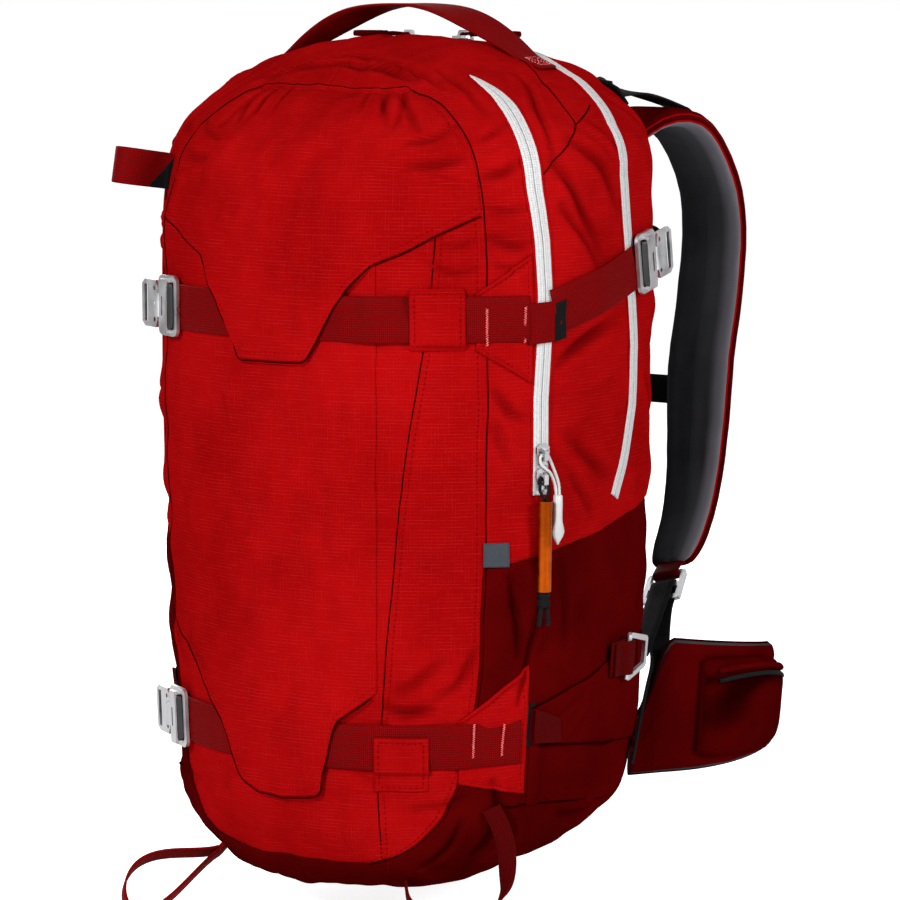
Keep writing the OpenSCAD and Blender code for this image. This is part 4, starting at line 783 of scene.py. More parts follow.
def cordura(name, deep, light, pitch=0.9):
    """Coarse matt plain weave."""
    m = Shader(name).set(Roughness=0.75, Specular_IOR_Level=0.0)
    u, v, _ = m.split(m.uv())
    wide = m.noise(m.place(), 18, 4)
    fuzz = m.noise(m.uv(), 900, 3)
    over = m.math("MULTIPLY", m.wave(u, pitch), m.wave(v, pitch * 1.15))
    under = m.math("MULTIPLY", m.math("SUBTRACT", 1.0, m.wave(u, pitch)),
                   m.math("SUBTRACT", 1.0, m.wave(v, pitch * 1.15)))
    weave = m.math("ADD", over, under)
    base = m.blend(m.ramp(wide, 0.3, 0.7), deep, light)
    shade = m.math("MULTIPLY", m.math("SUBTRACT", 1.0, weave), m.math("MULTIPLY", fuzz, 1.2))
    base = m.blend(m.math("MULTIPLY", shade, 0.8, clamp=True), base, tuple(c * 0.35 for c in deep))
    # Painted shade in the folds, and painted light where the shading is below 0, as along the pads' outer
    # edge
    m.colour(m.painted_shading_colour(base, tuple(c * 0.12 for c in deep), tuple(min(1, c * 3.2) for c in light)))
    return m.bump(m.math("ADD", weave, m.math("MULTIPLY", fuzz, 0.4)), 0.22, 0.8).material


def webbing(name, deep, light, pitch=1.45):
    """Flat woven webbing with small square ribs and finished edges."""
    m = Shader(name).set(Roughness=0.62, Specular_IOR_Level=0.02)
    u, v, _ = m.split(m.uv())
    fuzz = m.noise(m.uv(), 700, 3)
    wide = m.noise(m.place(), 25, 3)
    ribs = m.math("MULTIPLY", m.ramp(m.wave(u, pitch), 0.12, 0.7), m.ramp(m.wave(v, pitch * 0.86), 0.12, 0.7))
    base = m.blend(ribs, deep, light)
    base = m.blend(m.math("MULTIPLY", m.ramp(wide, 0.35, 0.7), 0.3), base, deep)
    m.colour(m.blend(m.math("MULTIPLY", fuzz, 0.25), base, light))
    return m.bump(m.math("ADD", ribs, m.math("MULTIPLY", fuzz, 0.3)), 0.28, 0.8).material


def zip_tape(name):
    """Coated grey tape with the coil's stitch rows and a slit down its middle."""
    m = Shader(name).set(Roughness=0.5, Specular_IOR_Level=0.4)
    u, v, _ = m.split(m.uv())
    grain = m.noise(m.uv(), 500, 4)
    off = m.math("ABSOLUTE", u)
    slit = m.ramp(off, 0.15 * MM, 0.45 * MM, 1, 0)
    dots = None
    for row in (1.5, 3.2):
        near = m.ramp(m.math("ABSOLUTE", m.math("SUBTRACT", off, row * MM)), 0.15 * MM, 0.5 * MM, 1, 0)
        one = m.math("MULTIPLY", near, m.ramp(m.wave(v, 1.5), 0.45, 0.8))
        dots = one if dots is None else m.math("MAXIMUM", dots, one)
    base = m.blend(m.ramp(grain, 0.3, 0.7), (0.47, 0.47, 0.475), (0.57, 0.57, 0.57))
    base = m.blend(m.math("MULTIPLY", dots, 0.8), base, (0.2, 0.2, 0.21))
    m.colour(m.blend(m.math("MULTIPLY", slit, 0.7), base, (0.1, 0.1, 0.1)))
    height = m.math("SUBTRACT", m.math("MULTIPLY", grain, 0.15),
                    m.math("ADD", slit, m.math("MULTIPLY", dots, 0.5)))
    return m.bump(height, 0.25, 0.8).material


def metal(name, colour, rough=0.32, wear=0.12, grain=60):
    """Tumbled metal with fine pits and cloudy polish."""
    m = Shader(name).set(Metallic=1.0)
    cloud = m.noise(m.place(), grain, 4)
    pits = m.noise(m.place(), grain * 40, 2)
    m.colour(m.blend(m.ramp(cloud, 0.3, 0.7), tuple(c * (1 - wear) for c in colour), colour))
    m.roughness(m.ramp(cloud, 0.25, 0.75, rough - 0.08, rough + 0.12))
    return m.bump(pits, 0.02, 0.5).material


def plastic(name, deep, light, rough=0.45, grain=1500):
    """Moulded plastic with a fine spark-eroded grain."""
    m = Shader(name).set(Specular_IOR_Level=0.45)
    fine = m.noise(m.place(), grain, 2)
    cloud = m.noise(m.place(), 70, 3)
    m.colour(m.blend(m.ramp(cloud, 0.3, 0.7), deep, light))
    m.roughness(m.ramp(fine, 0.3, 0.7, rough - 0.06, rough + 0.08))
    return m.bump(fine, 0.03, 0.5).material


def spacer_mesh(name, deep, light, pitch=4.2):
    """Knitted spacer mesh with rows of small round holes."""
    m = Shader(name).set(Roughness=0.8, Sheen_Weight=0.08, Sheen_Roughness=0.5, Specular_IOR_Level=0.2)
    n = m.node("ShaderNodeTexVoronoi", feature="F1", distance="EUCLIDEAN")
    n.inputs["Scale"].default_value = 1 / (pitch * MM)
    n.inputs["Randomness"].default_value = 0.25
    m.link(m.uv(), n.inputs["Vector"])
    hole = m.ramp(n.outputs["Distance"], 0.22, 0.42, 1, 0)
    fuzz = m.noise(m.uv(), 1100, 3)
    base = m.blend(fuzz, deep, light)
    m.colour(m.blend(hole, base, tuple(c * 0.25 for c in deep)))
    return m.bump(m.math("SUBTRACT", m.math("MULTIPLY", fuzz, 0.3), hole), 0.6, 0.9).material


def thread(name, deep, light):
    """Twisted sewing thread."""
    m = Shader(name).set(Roughness=0.6, Specular_IOR_Level=0.0)
    twist = m.noise(m.place(), 1800, 2)
    m.colour(m.blend(m.ramp(twist, 0.35, 0.65), deep, light))
    return m.bump(twist, 0.06, 0.6).material


RED = ripstop("red_ripstop", (0.235, 0.0012, 0.0016), (0.33, 0.0022, 0.0028), (0.52, 0.018, 0.02))
DARK = cordura("dark_red_cloth", (0.068, 0.0006, 0.0008), (0.105, 0.001, 0.0014))
LINING = cordura("grey_lining", (0.042, 0.042, 0.048), (0.066, 0.065, 0.073), 0.7)
RED_WEB = webbing("red_webbing", (0.10, 0.0007, 0.0009), (0.22, 0.0016, 0.0024))
DARK_WEB = webbing("dark_red_webbing", (0.045, 0.0004, 0.0006), (0.10, 0.001, 0.0015))
BLACK_WEB = webbing("black_webbing", (0.004, 0.004, 0.0045), (0.012, 0.011, 0.012))
TAPE = zip_tape("zip_tape")
SILVER = metal("satin_aluminium", (0.62, 0.62, 0.635), 0.34)
SLIDER = metal("slider_metal", (0.55, 0.55, 0.56), 0.28)
ORANGE = metal("orange_anodised", (0.52, 0.085, 0.004), 0.3, 0.45, 60)
BLACK_PLASTIC = plastic("black_plastic", (0.008, 0.008, 0.009), (0.016, 0.016, 0.017))
WHITE_PLASTIC = plastic("white_plastic", (0.44, 0.44, 0.435), (0.52, 0.52, 0.51), 0.42)
MESH = spacer_mesh("black_spacer_mesh", (0.018, 0.018, 0.02), (0.04, 0.04, 0.044))
LABEL = cordura("grey_label", (0.055, 0.062, 0.075), (0.075, 0.083, 0.098), 0.5)
BLACK_CORD = webbing("black_cord", (0.004, 0.004, 0.004), (0.02, 0.02, 0.02), 1.0)
RED_THREAD = thread("red_thread", (0.17, 0.001, 0.0015), (0.26, 0.002, 0.003))
PINK_THREAD = thread("pink_thread", (0.75, 0.10, 0.11), (0.95, 0.22, 0.22))
# Near black for the painted shadow lines of the seams, and for the wings' binding
SEAM_DARK = cordura("seam_shadow", (0.022, 0.0004, 0.0005), (0.04, 0.0006, 0.0008), 0.6)
# Dark red for the pads' binding, the top pulls' cords and the painted shadow along the front panel's top seam
SEAM_SHADE = cordura("binding_and_painted_seam_shade", (0.06, 0.0008, 0.001), (0.10, 0.0015, 0.002), 0.6)


# Pieces of the bag


def bag_piece(name, mesh, materials, nodes=(), body="bag", face_material=None):
    """A piece that rides on a body and stands for CAD nodes."""
    points, faces, uv = mesh
    piece = make_object(name, points, faces, uv, materials, face_material)
    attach(piece, body)
    if nodes:
        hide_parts(*nodes)
    return piece


def inside_front(a, t):
    """1 well inside the front panel's outline, 0 outside it."""
    half = front_half_angle(t)
    return ease((half - away_from(a, -90)) / 2.5) * ease((t - FRONT_LOW) / 0.008) * ease(
        (FRONT_HIGH - t) / 0.008)


# Distance between the rows of the shells, and the thickness of their cloth
SHELL_STEP = 2.4
SHELL_T = 2.0


def shell_mesh(levels, columns, offset):
    """Wall of the bag over a range of levels, where offset(a, t) moves it in or out."""
    a, t = np.meshgrid(columns, levels)
    h = relief(a, t) + offset(a, t)
    return cloth_sheet(a, t, h, h - SHELL_T)


def upper_offset(a, t):
    """The red shell lies under the front panel and the back panel, and turns in at its lower seam."""
    under = -2.2 * inside_front(a, t)
    back = -2.4 * ease((away_from(a, 90) - 56) / -3) * ease((0.945 - t) / 0.01)
    low = -1.6 * ease((seam_lower(a) + 0.004 - t) / 0.006)
    return np.minimum(np.minimum(under, back), low)


columns = np.linspace(-90, 270, 401)
# Levels are even along the wall and close up over the hood
wall_levels = np.arange(0.385, 0.93, SHELL_STEP / BAG_H)
hood_levels = 0.93 + (HOOD_TIP - 0.93) * np.sin(np.radians(np.linspace(0, 90, 38)))
upper_levels = np.concatenate([wall_levels, hood_levels])
bag_piece("upper_shell", shell_mesh(upper_levels, columns, upper_offset), [RED],
          ["hood", "front_gussets", "main_gussets", "rear_gussets"])


def lower_offset(a, t):
    """The dark shell laps over the red one and lies under the front and back panels."""
    under = -2.2 * inside_front(a, t)
    back = -2.4 * ease((away_from(a, 90) - 56) / -3) * ease((t - 0.03) / 0.01)
    return np.minimum(under, back) + 0.3


def lower_shell_mesh():
    share = np.concatenate([np.sin(np.radians(np.linspace(0, 60, 16))) ** 2 * 0.12,
                            np.linspace(0.10, 1, 84)[1:]])
    a = np.repeat(columns[None], len(share), 0)
    t = share[:, None] * np.clip(seam_lower(columns), 0.39, 0.462)[None]
    edge = roll_off(1 - np.maximum(1 - share, 0) * 0.5, 200, 1.0, 1.4)[:, None]
    h = relief(a, t) + lower_offset(a, t) + edge
    return cloth_sheet(a, t, h, h - SHELL_T)


bag_piece("lower_shell", lower_shell_mesh(), [DARK], ["lower_side_panels"])


def base_mesh():
    """Closed underside of the bag."""
    shares = np.linspace(1, 0.02, 24)
    ring = columns[::2]
    edge = skin(ring, np.zeros_like(ring))
    centre = edge[:-1].mean(0)
    outer = np.stack([centre + (edge - centre) * s + np.array([0, 0, -1.5 * (1 - s**4)]) for s in shares])
    return sheet_mesh(outer[::-1], outer[::-1] + np.array([0, 0, SHELL_T]))


bag_piece("base", base_mesh(), [DARK], ["base_panel"])


# Front panel, its inner seam and the two tongues that cover the front straps

PANEL_T = 1.2
INNER_SEAM = [(-50.8, 0.78), (-52.2, 0.704), (-54.2, 0.636), (-57.5, 0.546), (-59.8, 0.461), (-62.2, 0.341),
              (-63.5, 0.272), (-64.5, 0.207), (-65.5, 0.158), (-64.8, 0.08), (-64.5, 0.03)]
inner_line = surface_line(INNER_SEAM)


def inner_seam_drop(p):
    """Groove of the front panel's inner seam."""
    away, _ = segment_distance(p, inner_line)
    return -1.1 * np.exp(-((away / 1.9) ** 2))


def front_mesh():
    height = (FRONT_HIGH - FRONT_LOW) * BAG_H
    v = spaced(height, 2.8, 0.9)
    u = spaced(330, 2.8, 0.9)
    t = mix(FRONT_LOW + 0.0022, FRONT_HIGH - 0.0018, v)[:, None] + np.zeros((1, len(u)))
    half = front_half_angle(t[:, :1])
    a = -90 + half * (2 * u[None] - 1)
    edge = np.minimum(roll_off(u, 330, 0.9, 1.9)[None], roll_off(v, height, 0.9, 1.9)[:, None])
    h = relief(a, t) + edge + inner_seam_drop(bag(a, t))
    return cloth_sheet(a, t, h, h - PANEL_T)


bag_piece("front_panel_cloth", front_mesh(), [RED], ["front_panel"])

# Lower edges of the yoke and the bib, as angles and height shares from left to right
YOKE_EDGE = [(-141, 0.789), (-136, 0.782), (-127.8, 0.765), (-121, 0.750), (-117.5, 0.733), (-115, 0.712),
             (-112.8, 0.700), (-109.5, 0.673), (-106.5, 0.648), (-104.6, 0.635), (-103.5, 0.6315),
             (-94, 0.631), (-85, 0.632), (-83.6, 0.6345), (-81.2, 0.653), (-76.2, 0.695), (-72.2, 0.719),
             (-66.5, 0.745), (-58.2, 0.7605), (-50.5, 0.780), (-41, 0.800), (-39, 0.804)]
BIB_EDGE = [(-142, 0.315), (-137, 0.300), (-128.5, 0.273), (-120, 0.236), (-114, 0.214), (-111.2, 0.200),
            (-108, 0.1635), (-105.5, 0.145), (-102.8, 0.133), (-98.8, 0.1243), (-91, 0.1215),
            (-84, 0.1245), (-81.2, 0.127), (-80.0, 0.132), (-79.4, 0.155), (-76.8, 0.204), (-75.3, 0.2175),
            (-70, 0.235), (-65.4, 0.250)]
# Heights of the yoke and the bib above the front panel, away from the straps
YOKE_REST = 1.6
BIB_REST = 0.9


def edge_level(edge, a):
    line = np.array(edge)
    return np.interp(a, line[:, 0], line[:, 1])


def on_strap_share(a, t, level):
    """1 where a tongue passes over its strap, 0 well away from it."""
    return ease((0.072 - (t - level)) / 0.034) * ease((np.abs(a + 92) - 34) / -12)


def tongue_mesh(edge, top, strap_level, rest, right_end):
    """A layer of the front panel whose tongue passes over a strap and ends in a turned hem."""
    columns = even_line(edge, 2.6)[0]
    low = edge_level(edge, columns)
    rows = spaced(130, 2.4, 0.8)
    high = np.broadcast_to(top(columns), low.shape)
    t = mix(low[None], high[None], rows[:, None])
    a = np.repeat(columns[None], len(rows), 0)
    # The layer ends in the seam at the front panel's edge
    half = front_half_angle(t) - 0.5
    a = -90 + np.clip(a + 90, -half, half)
    over = on_strap_share(a, t, strap_level)
    in_seam = ease((half - np.abs(a + 90)) * 2.6 / 7)
    form = relief(a, t)
    h = mix(form + rest * in_seam, np.maximum(form, -0.2) + COVER_LIFT + COVER_T, over)
    away = (t - low[None]) * BAG_H
    h += -0.9 * (1 - np.sqrt(1 - np.clip(1 - away / 1.6, 0, 1) ** 2))
    h += -0.35 * np.exp(-(((away - 5.0) / 1.0) ** 2))
    h -= rest * in_seam * ease((t - (high[None] - 0.012)) / 0.012) * (0 if right_end else 1)
    return cloth_sheet(a, t, h, h - 0.9)


def yoke_top(a):
    half = np.abs(np.asarray(a) + 90)
    return np.where(half < 36, 0.938, mix(0.938, 0.86, np.clip((half - 36) / 14, 0, 1) ** 2))


yoke_mesh = tongue_mesh(YOKE_EDGE, yoke_top, UPPER_LEVEL, YOKE_REST, False)
bag_piece("yoke", yoke_mesh, [RED], ["upper_strap_cover"])


def bib_top(a):
    return edge_level(YOKE_EDGE, a) + 0.02


bib_mesh = tongue_mesh(BIB_EDGE, bib_top, LOWER_LEVEL, BIB_REST, True)
bag_piece("bib", bib_mesh, [RED], ["lower_strap_cover"])

# Sewing thread


def stitches(path, normals, length=2.4, gap=1.1, thick=0.5, lift=0.12):
    """Points, faces and UV of a row of stitches along a path."""
    both = resample(np.hstack([path, normals]), 0.4)
    p, n = both[:, :3], unit(both[:, 3:])
    run = lengths(p)
    starts = np.arange(gap, run[-1] - length, length + gap)
    if not len(starts):
        return np.zeros((0, 3)), [], np.zeros((0, 2))
    ring = np.radians([0, 60, 120, 180, 240, 300])
    shape = [(0.0, 0.25, -0.5), (0.18, 0.8, 0.0), (0.5, 1.0, 0.35), (0.82, 0.8, 0.0), (1.0, 0.25, -0.5)]
    points, faces = [], []
    for start in starts:
        base = len(points) * 6
        at = [np.interp(start + s * length, run, np.arange(len(run))) for s, _, _ in shape]
        low = np.floor(at).astype(int).clip(0, len(p) - 2)
        part = (np.array(at) - low)[:, None]
        centre = mix(p[low], p[low + 1], part)
        up = unit(mix(n[low], n[low + 1], part))
        along = unit(centre[-1] - centre[0])
        for k, (_, wide, rise) in enumerate(shape):
            side = unit(np.cross(up[k], along))
            middle = centre[k] + up[k] * (lift + rise * thick * 0.5)
            points.append([middle + (side * math.cos(a) + up[k] * math.sin(a)) * thick / 2 * wide
                           for a in ring])
        for k in range(4):
            for i in range(6):
                j = (i + 1) % 6
                faces.append([base + k * 6 + i, base + k * 6 + j, base + k * 6 + 6 + j, base + k * 6 + 6 + i])
        faces.append([base + i for i in range(5, -1, -1)])
        faces.append([base + 24 + i for i in range(6)])
    points = np.array(points).reshape(-1, 3)
    return points, faces, points[:, :2]


def surface_stitches(points, lift):
    """Stitches along a line of angles and height shares, at a height above the fabric."""
    q = np.asarray(points, float)
    fine = []
    for i in range(len(q) - 1):
        n = max(2, int(np.linalg.norm(bag(*q[i]) - bag(*q[i + 1])) / 2.0))
        fine += [mix(q[i], q[i + 1], k / n) for k in range(n)]
    fine = np.array(fine + [q[-1]])
    a, t = fine[:, 0], fine[:, 1]
    return stitches(skin(a, t, lift(a, t) if callable(lift) else lift), bag_normal(a, t))


def tack(a, low, high, lift, wide=0.8, step=0.7):
    """A bar tack: close zigzag stitches across a line."""
    t = np.arange(low, high, step / BAG_H)
    side = np.where(np.arange(len(t)) % 2, 1.0, -1.0) * wide
    angle = a + np.degrees(side / np.linalg.norm(bag(a, np.mean(t))[:2] - np.array([0, AXIS_Y])))
    return cord_mesh(resample(skin(angle, t, lift), 0.5), 0.42, 6)


# Zips


def zip_mesh(path, point=0.0):
    """Tape of a coated zip with its slit, and a turned lip of cloth along each edge."""
    a, t, at = even_line(path, 2.2)
    n = bag_normal(a, t)
    centre = skin(a, t)
    side = unit(np.cross(headings(centre), n))
    across = [(-5.5, 0.30), (-5.2, 0.75), (-4.2, 0.85), (-2.6, 0.95), (-1.4, 1.25), (-0.6, 1.3),
              (-0.2, 0.95), (0.0, 0.8), (0.2, 0.95), (0.6, 1.3), (1.4, 1.25), (2.6, 0.95), (4.2, 0.85),
              (5.2, 0.75), (5.5, 0.30)]
    slim = np.ones(len(at))
    if point:
        slim = mix(0.12, 1, np.clip((at[-1] - at) / point, 0, 1) ** 0.7)
    side = side * slim[:, None]
    outer = np.stack([centre + side * x + n * (TAPE_LIFT - 0.3 + h) for x, h in across], 1)
    inner = np.stack([centre + side * x - n * 0.25 for x, h in across], 1)
    points, faces, _ = sheet_mesh(outer, inner)
    wide = np.array([x for x, _ in across])
    uv = np.stack(np.broadcast_arrays(wide[None], at[:, None]), -1).reshape(-1, 2)
    tape = (points, faces, np.concatenate([uv, uv]))
    lips = [cord_mesh(centre + side * (s * 6.1) + n * 0.2, 1.7, 8) for s in (-1, 1)]
    return tape, join_meshes(lips)


def zip_piece(name, path, node, point=0.0):
    tape, lips = zip_mesh(path, point)
    bag_piece(name, tape, [TAPE], [node])
    bag_piece(name + "_lips", lips, [RED], ())


# Length over which the front zips' upper ends draw to a point
FRONT_ZIP_POINT = 34
front_levels = np.linspace(0.478, 0.955, 90)
front_right = np.stack([course_angle(FRONT_ZIP_COURSE, front_levels), front_levels], -1)
front_left = np.stack([-180 - front_right[:, 0], front_levels], -1)
zip_piece("front_zips", front_right, "front_zip", FRONT_ZIP_POINT)
# On the left side the zip lies under a flap of the shell's cloth
bag_piece("left_zip_flap", zip_mesh(front_left, FRONT_ZIP_POINT)[0], [RED], ())
zip_piece("main_zip_tape", main_zip_path(), "main_zip")

# Buckle axes and the straps that are looped on them

FRAME_L = 23
RAIL = 4
FRAME_T = 2.2
PLATE_T = 2
CATCH_L = 25
TAB_W = 22
HOOK_OUT = 4.2
RAIL_MID = FRAME_L - RAIL - 5 - RAIL / 2
FOLD_Z = FRAME_T / 2 + SEAM * 1.6 + WEB_T / 2
FOLD_PLATE = PLATE_T / 2 + SEAM * 1.6 + WEB_T / 2
BUCKLE_LIFT = STRAP_LIFT + WEB_T / 2 + FOLD_Z
REAR_LEVEL = (362 + 26) / BAG_H
LEFT_BUCKLE = -128
REAR_BUCKLE = 8


def buckle_axes(a, t, side, tilt):
    """Origin and three axes of a buckle, as in the CAD source."""
    n = bag_normal(a, t)
    x = unit(np.cross([0, 0, 1], n)) * side
    y = np.cross(n, x)
    x = x * math.cos(math.radians(tilt)) + y * math.sin(math.radians(tilt))
    y = np.cross(n, x)
    return bag(a, t) + n * BUCKLE_LIFT - x * (FRAME_L + SEAM), x, y, n


def in_axes(f, q):
    q = np.asarray(q, float)
    return f[0] + q[..., :1] * f[1] + q[..., 1:2] * f[2] + q[..., 2:3] * f[3]


def fold_path(rail_x, half, z, way):
    """Webbing that comes in below a rail, turns round it and tucks in behind it."""
    turn = rail_x - way * (half + SEAM + WEB_T / 2)
    soft = z * 0.55
    flat = [(turn + way * (z - soft) * 0.9, -z), (turn + way * 0.25, -soft), (turn, 0),
            (turn + way * 0.25, soft), (turn + way * (z - soft) * 0.9, z), (rail_x + way * half, z),
            (rail_x + way * (half + 2.3), z * 0.5), (rail_x + way * (half + 3.4), -z * 0.1)]
    return np.array([(x, 0, h) for x, h in flat])


UPPER_AXES = buckle_axes(LEFT_BUCKLE, UPPER_LEVEL, 1, 0)
LOWER_AXES = buckle_axes(LEFT_BUCKLE, LOWER_LEVEL, 1, 0)
REAR_AXES = buckle_axes(REAR_BUCKLE, REAR_LEVEL, -1, 10)


def blended(name, mesh, material, node):
    """A piece that stands for a CAD node, which it hides, with its points moved into world space."""
    piece = make_object(name, *mesh, [material])
    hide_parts(node)
    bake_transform(piece)


def strap_piece(name, f, start, end, t_start, t_end, node):
    """A strap on the bag that is looped on a buckle's rail."""
    s = np.linspace(0, 1, 90)
    a, t = mix(start, end, s), mix(t_start, t_end, s)
    n = bag_normal(a, t)
    run = skin(a, t, STRAP_LIFT + WEB_T / 2)
    up = unit(np.cross(n, np.cross([0, 0, 1], n)))
    fold = curve(in_axes(f, fold_path(RAIL_MID, RAIL / 2, FOLD_Z, 1)), 5)
    path = np.vstack([run, fold])
    sides = np.vstack([up, np.repeat(f[2][None], len(fold), 0)])
    mesh = ribbon_mesh(path, sides, STRAP_W, WEB_T, 1.6)
    blended(name, mesh, RED_WEB, node)


strap_piece("upper_strap", UPPER_AXES, -29, LEFT_BUCKLE + 4, UPPER_LEVEL, UPPER_LEVEL, "upper_front_strap")
strap_piece("lower_strap", LOWER_AXES, -29, LEFT_BUCKLE + 4, LOWER_LEVEL, LOWER_LEVEL, "lower_front_strap")
strap_piece("side_strap", REAR_AXES, -22.4, REAR_BUCKLE - 4, UPPER_LEVEL + 0.006, REAR_LEVEL - 0.008,
            "right_side_strap")


def catch_tab(f, t, land, end):
    """Black webbing from the bag to a buckle's catch plate."""
    run = skin(np.linspace(end, land, 10), t, STRAP_LIFT + WEB_T / 2)
    under = [(-CATCH_L + 2.6, 0, -FOLD_PLATE * 1.7), (-CATCH_L + 6, 0, -FOLD_PLATE),
             (-HOOK_OUT - 3, 0, -FOLD_PLATE)]
    fold = curve(in_axes(f, np.array(under)), 5)
    up = np.array([0, 0, f[2][2]])
    sides = np.vstack([np.repeat(up[None], len(run), 0), np.repeat(f[2][None], len(fold), 0)])
    return ribbon_mesh(np.vstack([run, fold]), sides, TAB_W, WEB_T, 1.6)


RING_ANGLE = 9
RING_LEVEL = 0.262
RING_TURN = 3.2 / 2 + SEAM * 1.6 + WEB_T / 2
FIN_T = 3.2
RING_LIFT = RING_TURN + WEB_T / 2 + SEAM + FIN_T


def ring_tab():
    n = bag_normal(RING_ANGLE, RING_LEVEL)
    x = unit(np.cross([0, 0, 1], n))
    o = bag(RING_ANGLE, RING_LEVEL) + n * RING_LIFT
    z = RING_TURN
    flat = [(-18, -z), (-9, -z)]
    flat += [(z * math.cos(math.radians(k)), z * math.sin(math.radians(k))) for k in range(-90, 91, 30)]
    flat += [(-4, z * 0.62), (-8, -z + WEB_T + SEAM), (-16, -z + WEB_T + SEAM)]
    path = curve(np.array([o + x * p + n * q for p, q in flat]), 4)
    return ribbon_mesh(path, np.cross(n, x), TAB_W, WEB_T, 1.4)


tabs = [catch_tab(UPPER_AXES, UPPER_LEVEL, -148, -153.2), catch_tab(LOWER_AXES, LOWER_LEVEL, -148, -153.2),
        catch_tab(REAR_AXES, REAR_LEVEL + 0.02, 27.5, 34)]
bag_piece("catch_tabs", join_meshes(tabs), [BLACK_WEB], ["webbing_tabs"])
bag_piece("ring_web", ring_tab(), [DARK_WEB], ())

# Tabs that the straps are sewn to, and keepers over them


def patch_mesh(a0, a1, low, high, lift, thick=1.0, edge=0.5, cols=26, rows=34, drop=0.5):
    """A sewn patch between two angles whose lower and upper edges may slant, with rolled edges."""
    u, v = np.linspace(0, 1, cols), np.linspace(0, 1, rows)
    u = (u + 0.06 * np.sin(2 * np.pi * (u - 0.5))).clip(0, 1)
    a = mix(a0, a1, u)[None] + np.zeros((rows, 1))
    low, high = mix(low[0], low[1], u)[None], mix(high[0], high[1], u)[None]
    t = mix(low, high, v[:, None])
    wide = np.linalg.norm(bag(a1, np.mean(t)) - bag(a0, np.mean(t)))
    tall = (np.mean(high) - np.mean(low)) * BAG_H
    away = np.minimum(np.minimum(u, 1 - u)[None] * wide, np.minimum(v, 1 - v)[:, None] * tall)
    roll = -drop * (1 - np.sqrt(1 - np.clip(1 - away / (edge * 3), 0, 1) ** 2))
    roll = roll - 0.3 * np.exp(-(((away - 3.4) / 0.9) ** 2))
    h = relief(a, t) + (lift(a, t) if callable(lift) else lift) + roll
    return cloth_sheet(a, t, h, h - thick)


def patch_outline(a0, a1, low, high, inset):
    """Line of stitches a little inside a patch's edge."""
    da = inset * (a1 - a0) / np.linalg.norm(bag(a1, 0.5) - bag(a0, 0.5))
    dt = inset / BAG_H
    corners = [(a0 + da, low[0] + dt), (a1 - da, low[1] + dt), (a1 - da, high[1] - dt),
               (a0 + da, high[0] - dt)]
    return corners + corners[:1]


TAB_LIFT = TAPE_LIFT + 1.0
UPPER_TAB = (-41.4, -27.8, (UPPER_LEVEL - 0.035, UPPER_LEVEL - 0.076),
             (UPPER_LEVEL + 0.03, UPPER_LEVEL + 0.073))
LOWER_TAB = (-45, -27, (LOWER_LEVEL - 0.045, LOWER_LEVEL - 0.066), (LOWER_LEVEL + 0.03, LOWER_LEVEL + 0.09))
tab_patches = join_meshes([patch_mesh(*UPPER_TAB, TAB_LIFT), patch_mesh(*LOWER_TAB, TAB_LIFT)])
bag_piece("strap_tab_patches", tab_patches, [RED], ["strap_tabs"])


def over_strap(level, top_open):
    """Height of a keeper: over its strap, and down to the fabric beyond the strap's edges."""

    def lift(a, t):
        away = (t - level) * BAG_H
        low = ease((away + STRAP_W / 2 + 4.5) / 4.5)
        high = 1 if top_open else ease((STRAP_W / 2 + 4.5 - away) / 4.5)
        return mix(0.9, COVER_LIFT + COVER_T - 0.4, low * high)

    return lift


UPPER_KEEPER = (-57, -44, (UPPER_LEVEL - 0.036,) * 2, (UPPER_LEVEL + 0.036,) * 2)
LOWER_KEEPER = (-66, -52.5, (LOWER_LEVEL - 0.052,) * 2, (LOWER_LEVEL + 0.012,) * 2)
keepers = [patch_mesh(*UPPER_KEEPER, over_strap(UPPER_LEVEL, False)),
           patch_mesh(*LOWER_KEEPER, over_strap(LOWER_LEVEL, True))]
bag_piece("keepers", join_meshes(keepers), [RED], ["strap_keepers"])

label_t = np.array([0.411 - 7.5 / BAG_H, 0.411 + 7.5 / BAG_H])
label_half = 3.05
bag_piece("label", patch_mesh(-36.5 - label_half, -36.5 + label_half, (label_t[0],) * 2, (label_t[1],) * 2,
                              1.2, 0.8, 0.4, 14, 14), [LABEL], ["side_label"])

# Stitches on the bag


def tongue_lift(level, rest, sink):
    """Height of a tongue's surface above the fabric, less a little."""
    return lambda a, t: mix(rest, COVER_LIFT + COVER_T, on_strap_share(a, t, level)) - sink


TONGUES = ((YOKE_EDGE, UPPER_LEVEL, YOKE_REST), (BIB_EDGE, LOWER_LEVEL, BIB_REST))


def raised(edge, gap):
    """An edge moved up along the bag."""
    a, t, _ = even_line(edge, 3)
    return [(x, y + gap / BAG_H) for x, y in zip(a, t)]


def front_outline(inset):
    """Line inside the front panel's edge."""
    t = np.concatenate([np.linspace(FRONT_LOW + 0.004, 0.15, 24), np.linspace(0.17, 0.84, 60),
                        np.linspace(0.85, FRONT_HIGH - 0.003, 24)])
    half = front_half_angle(t) - inset * 0.42
    right = [(-90 + h, x) for h, x in zip(half, t)]
    left = [(-90 - h, x) for h, x in zip(half, t)]
    return right, left


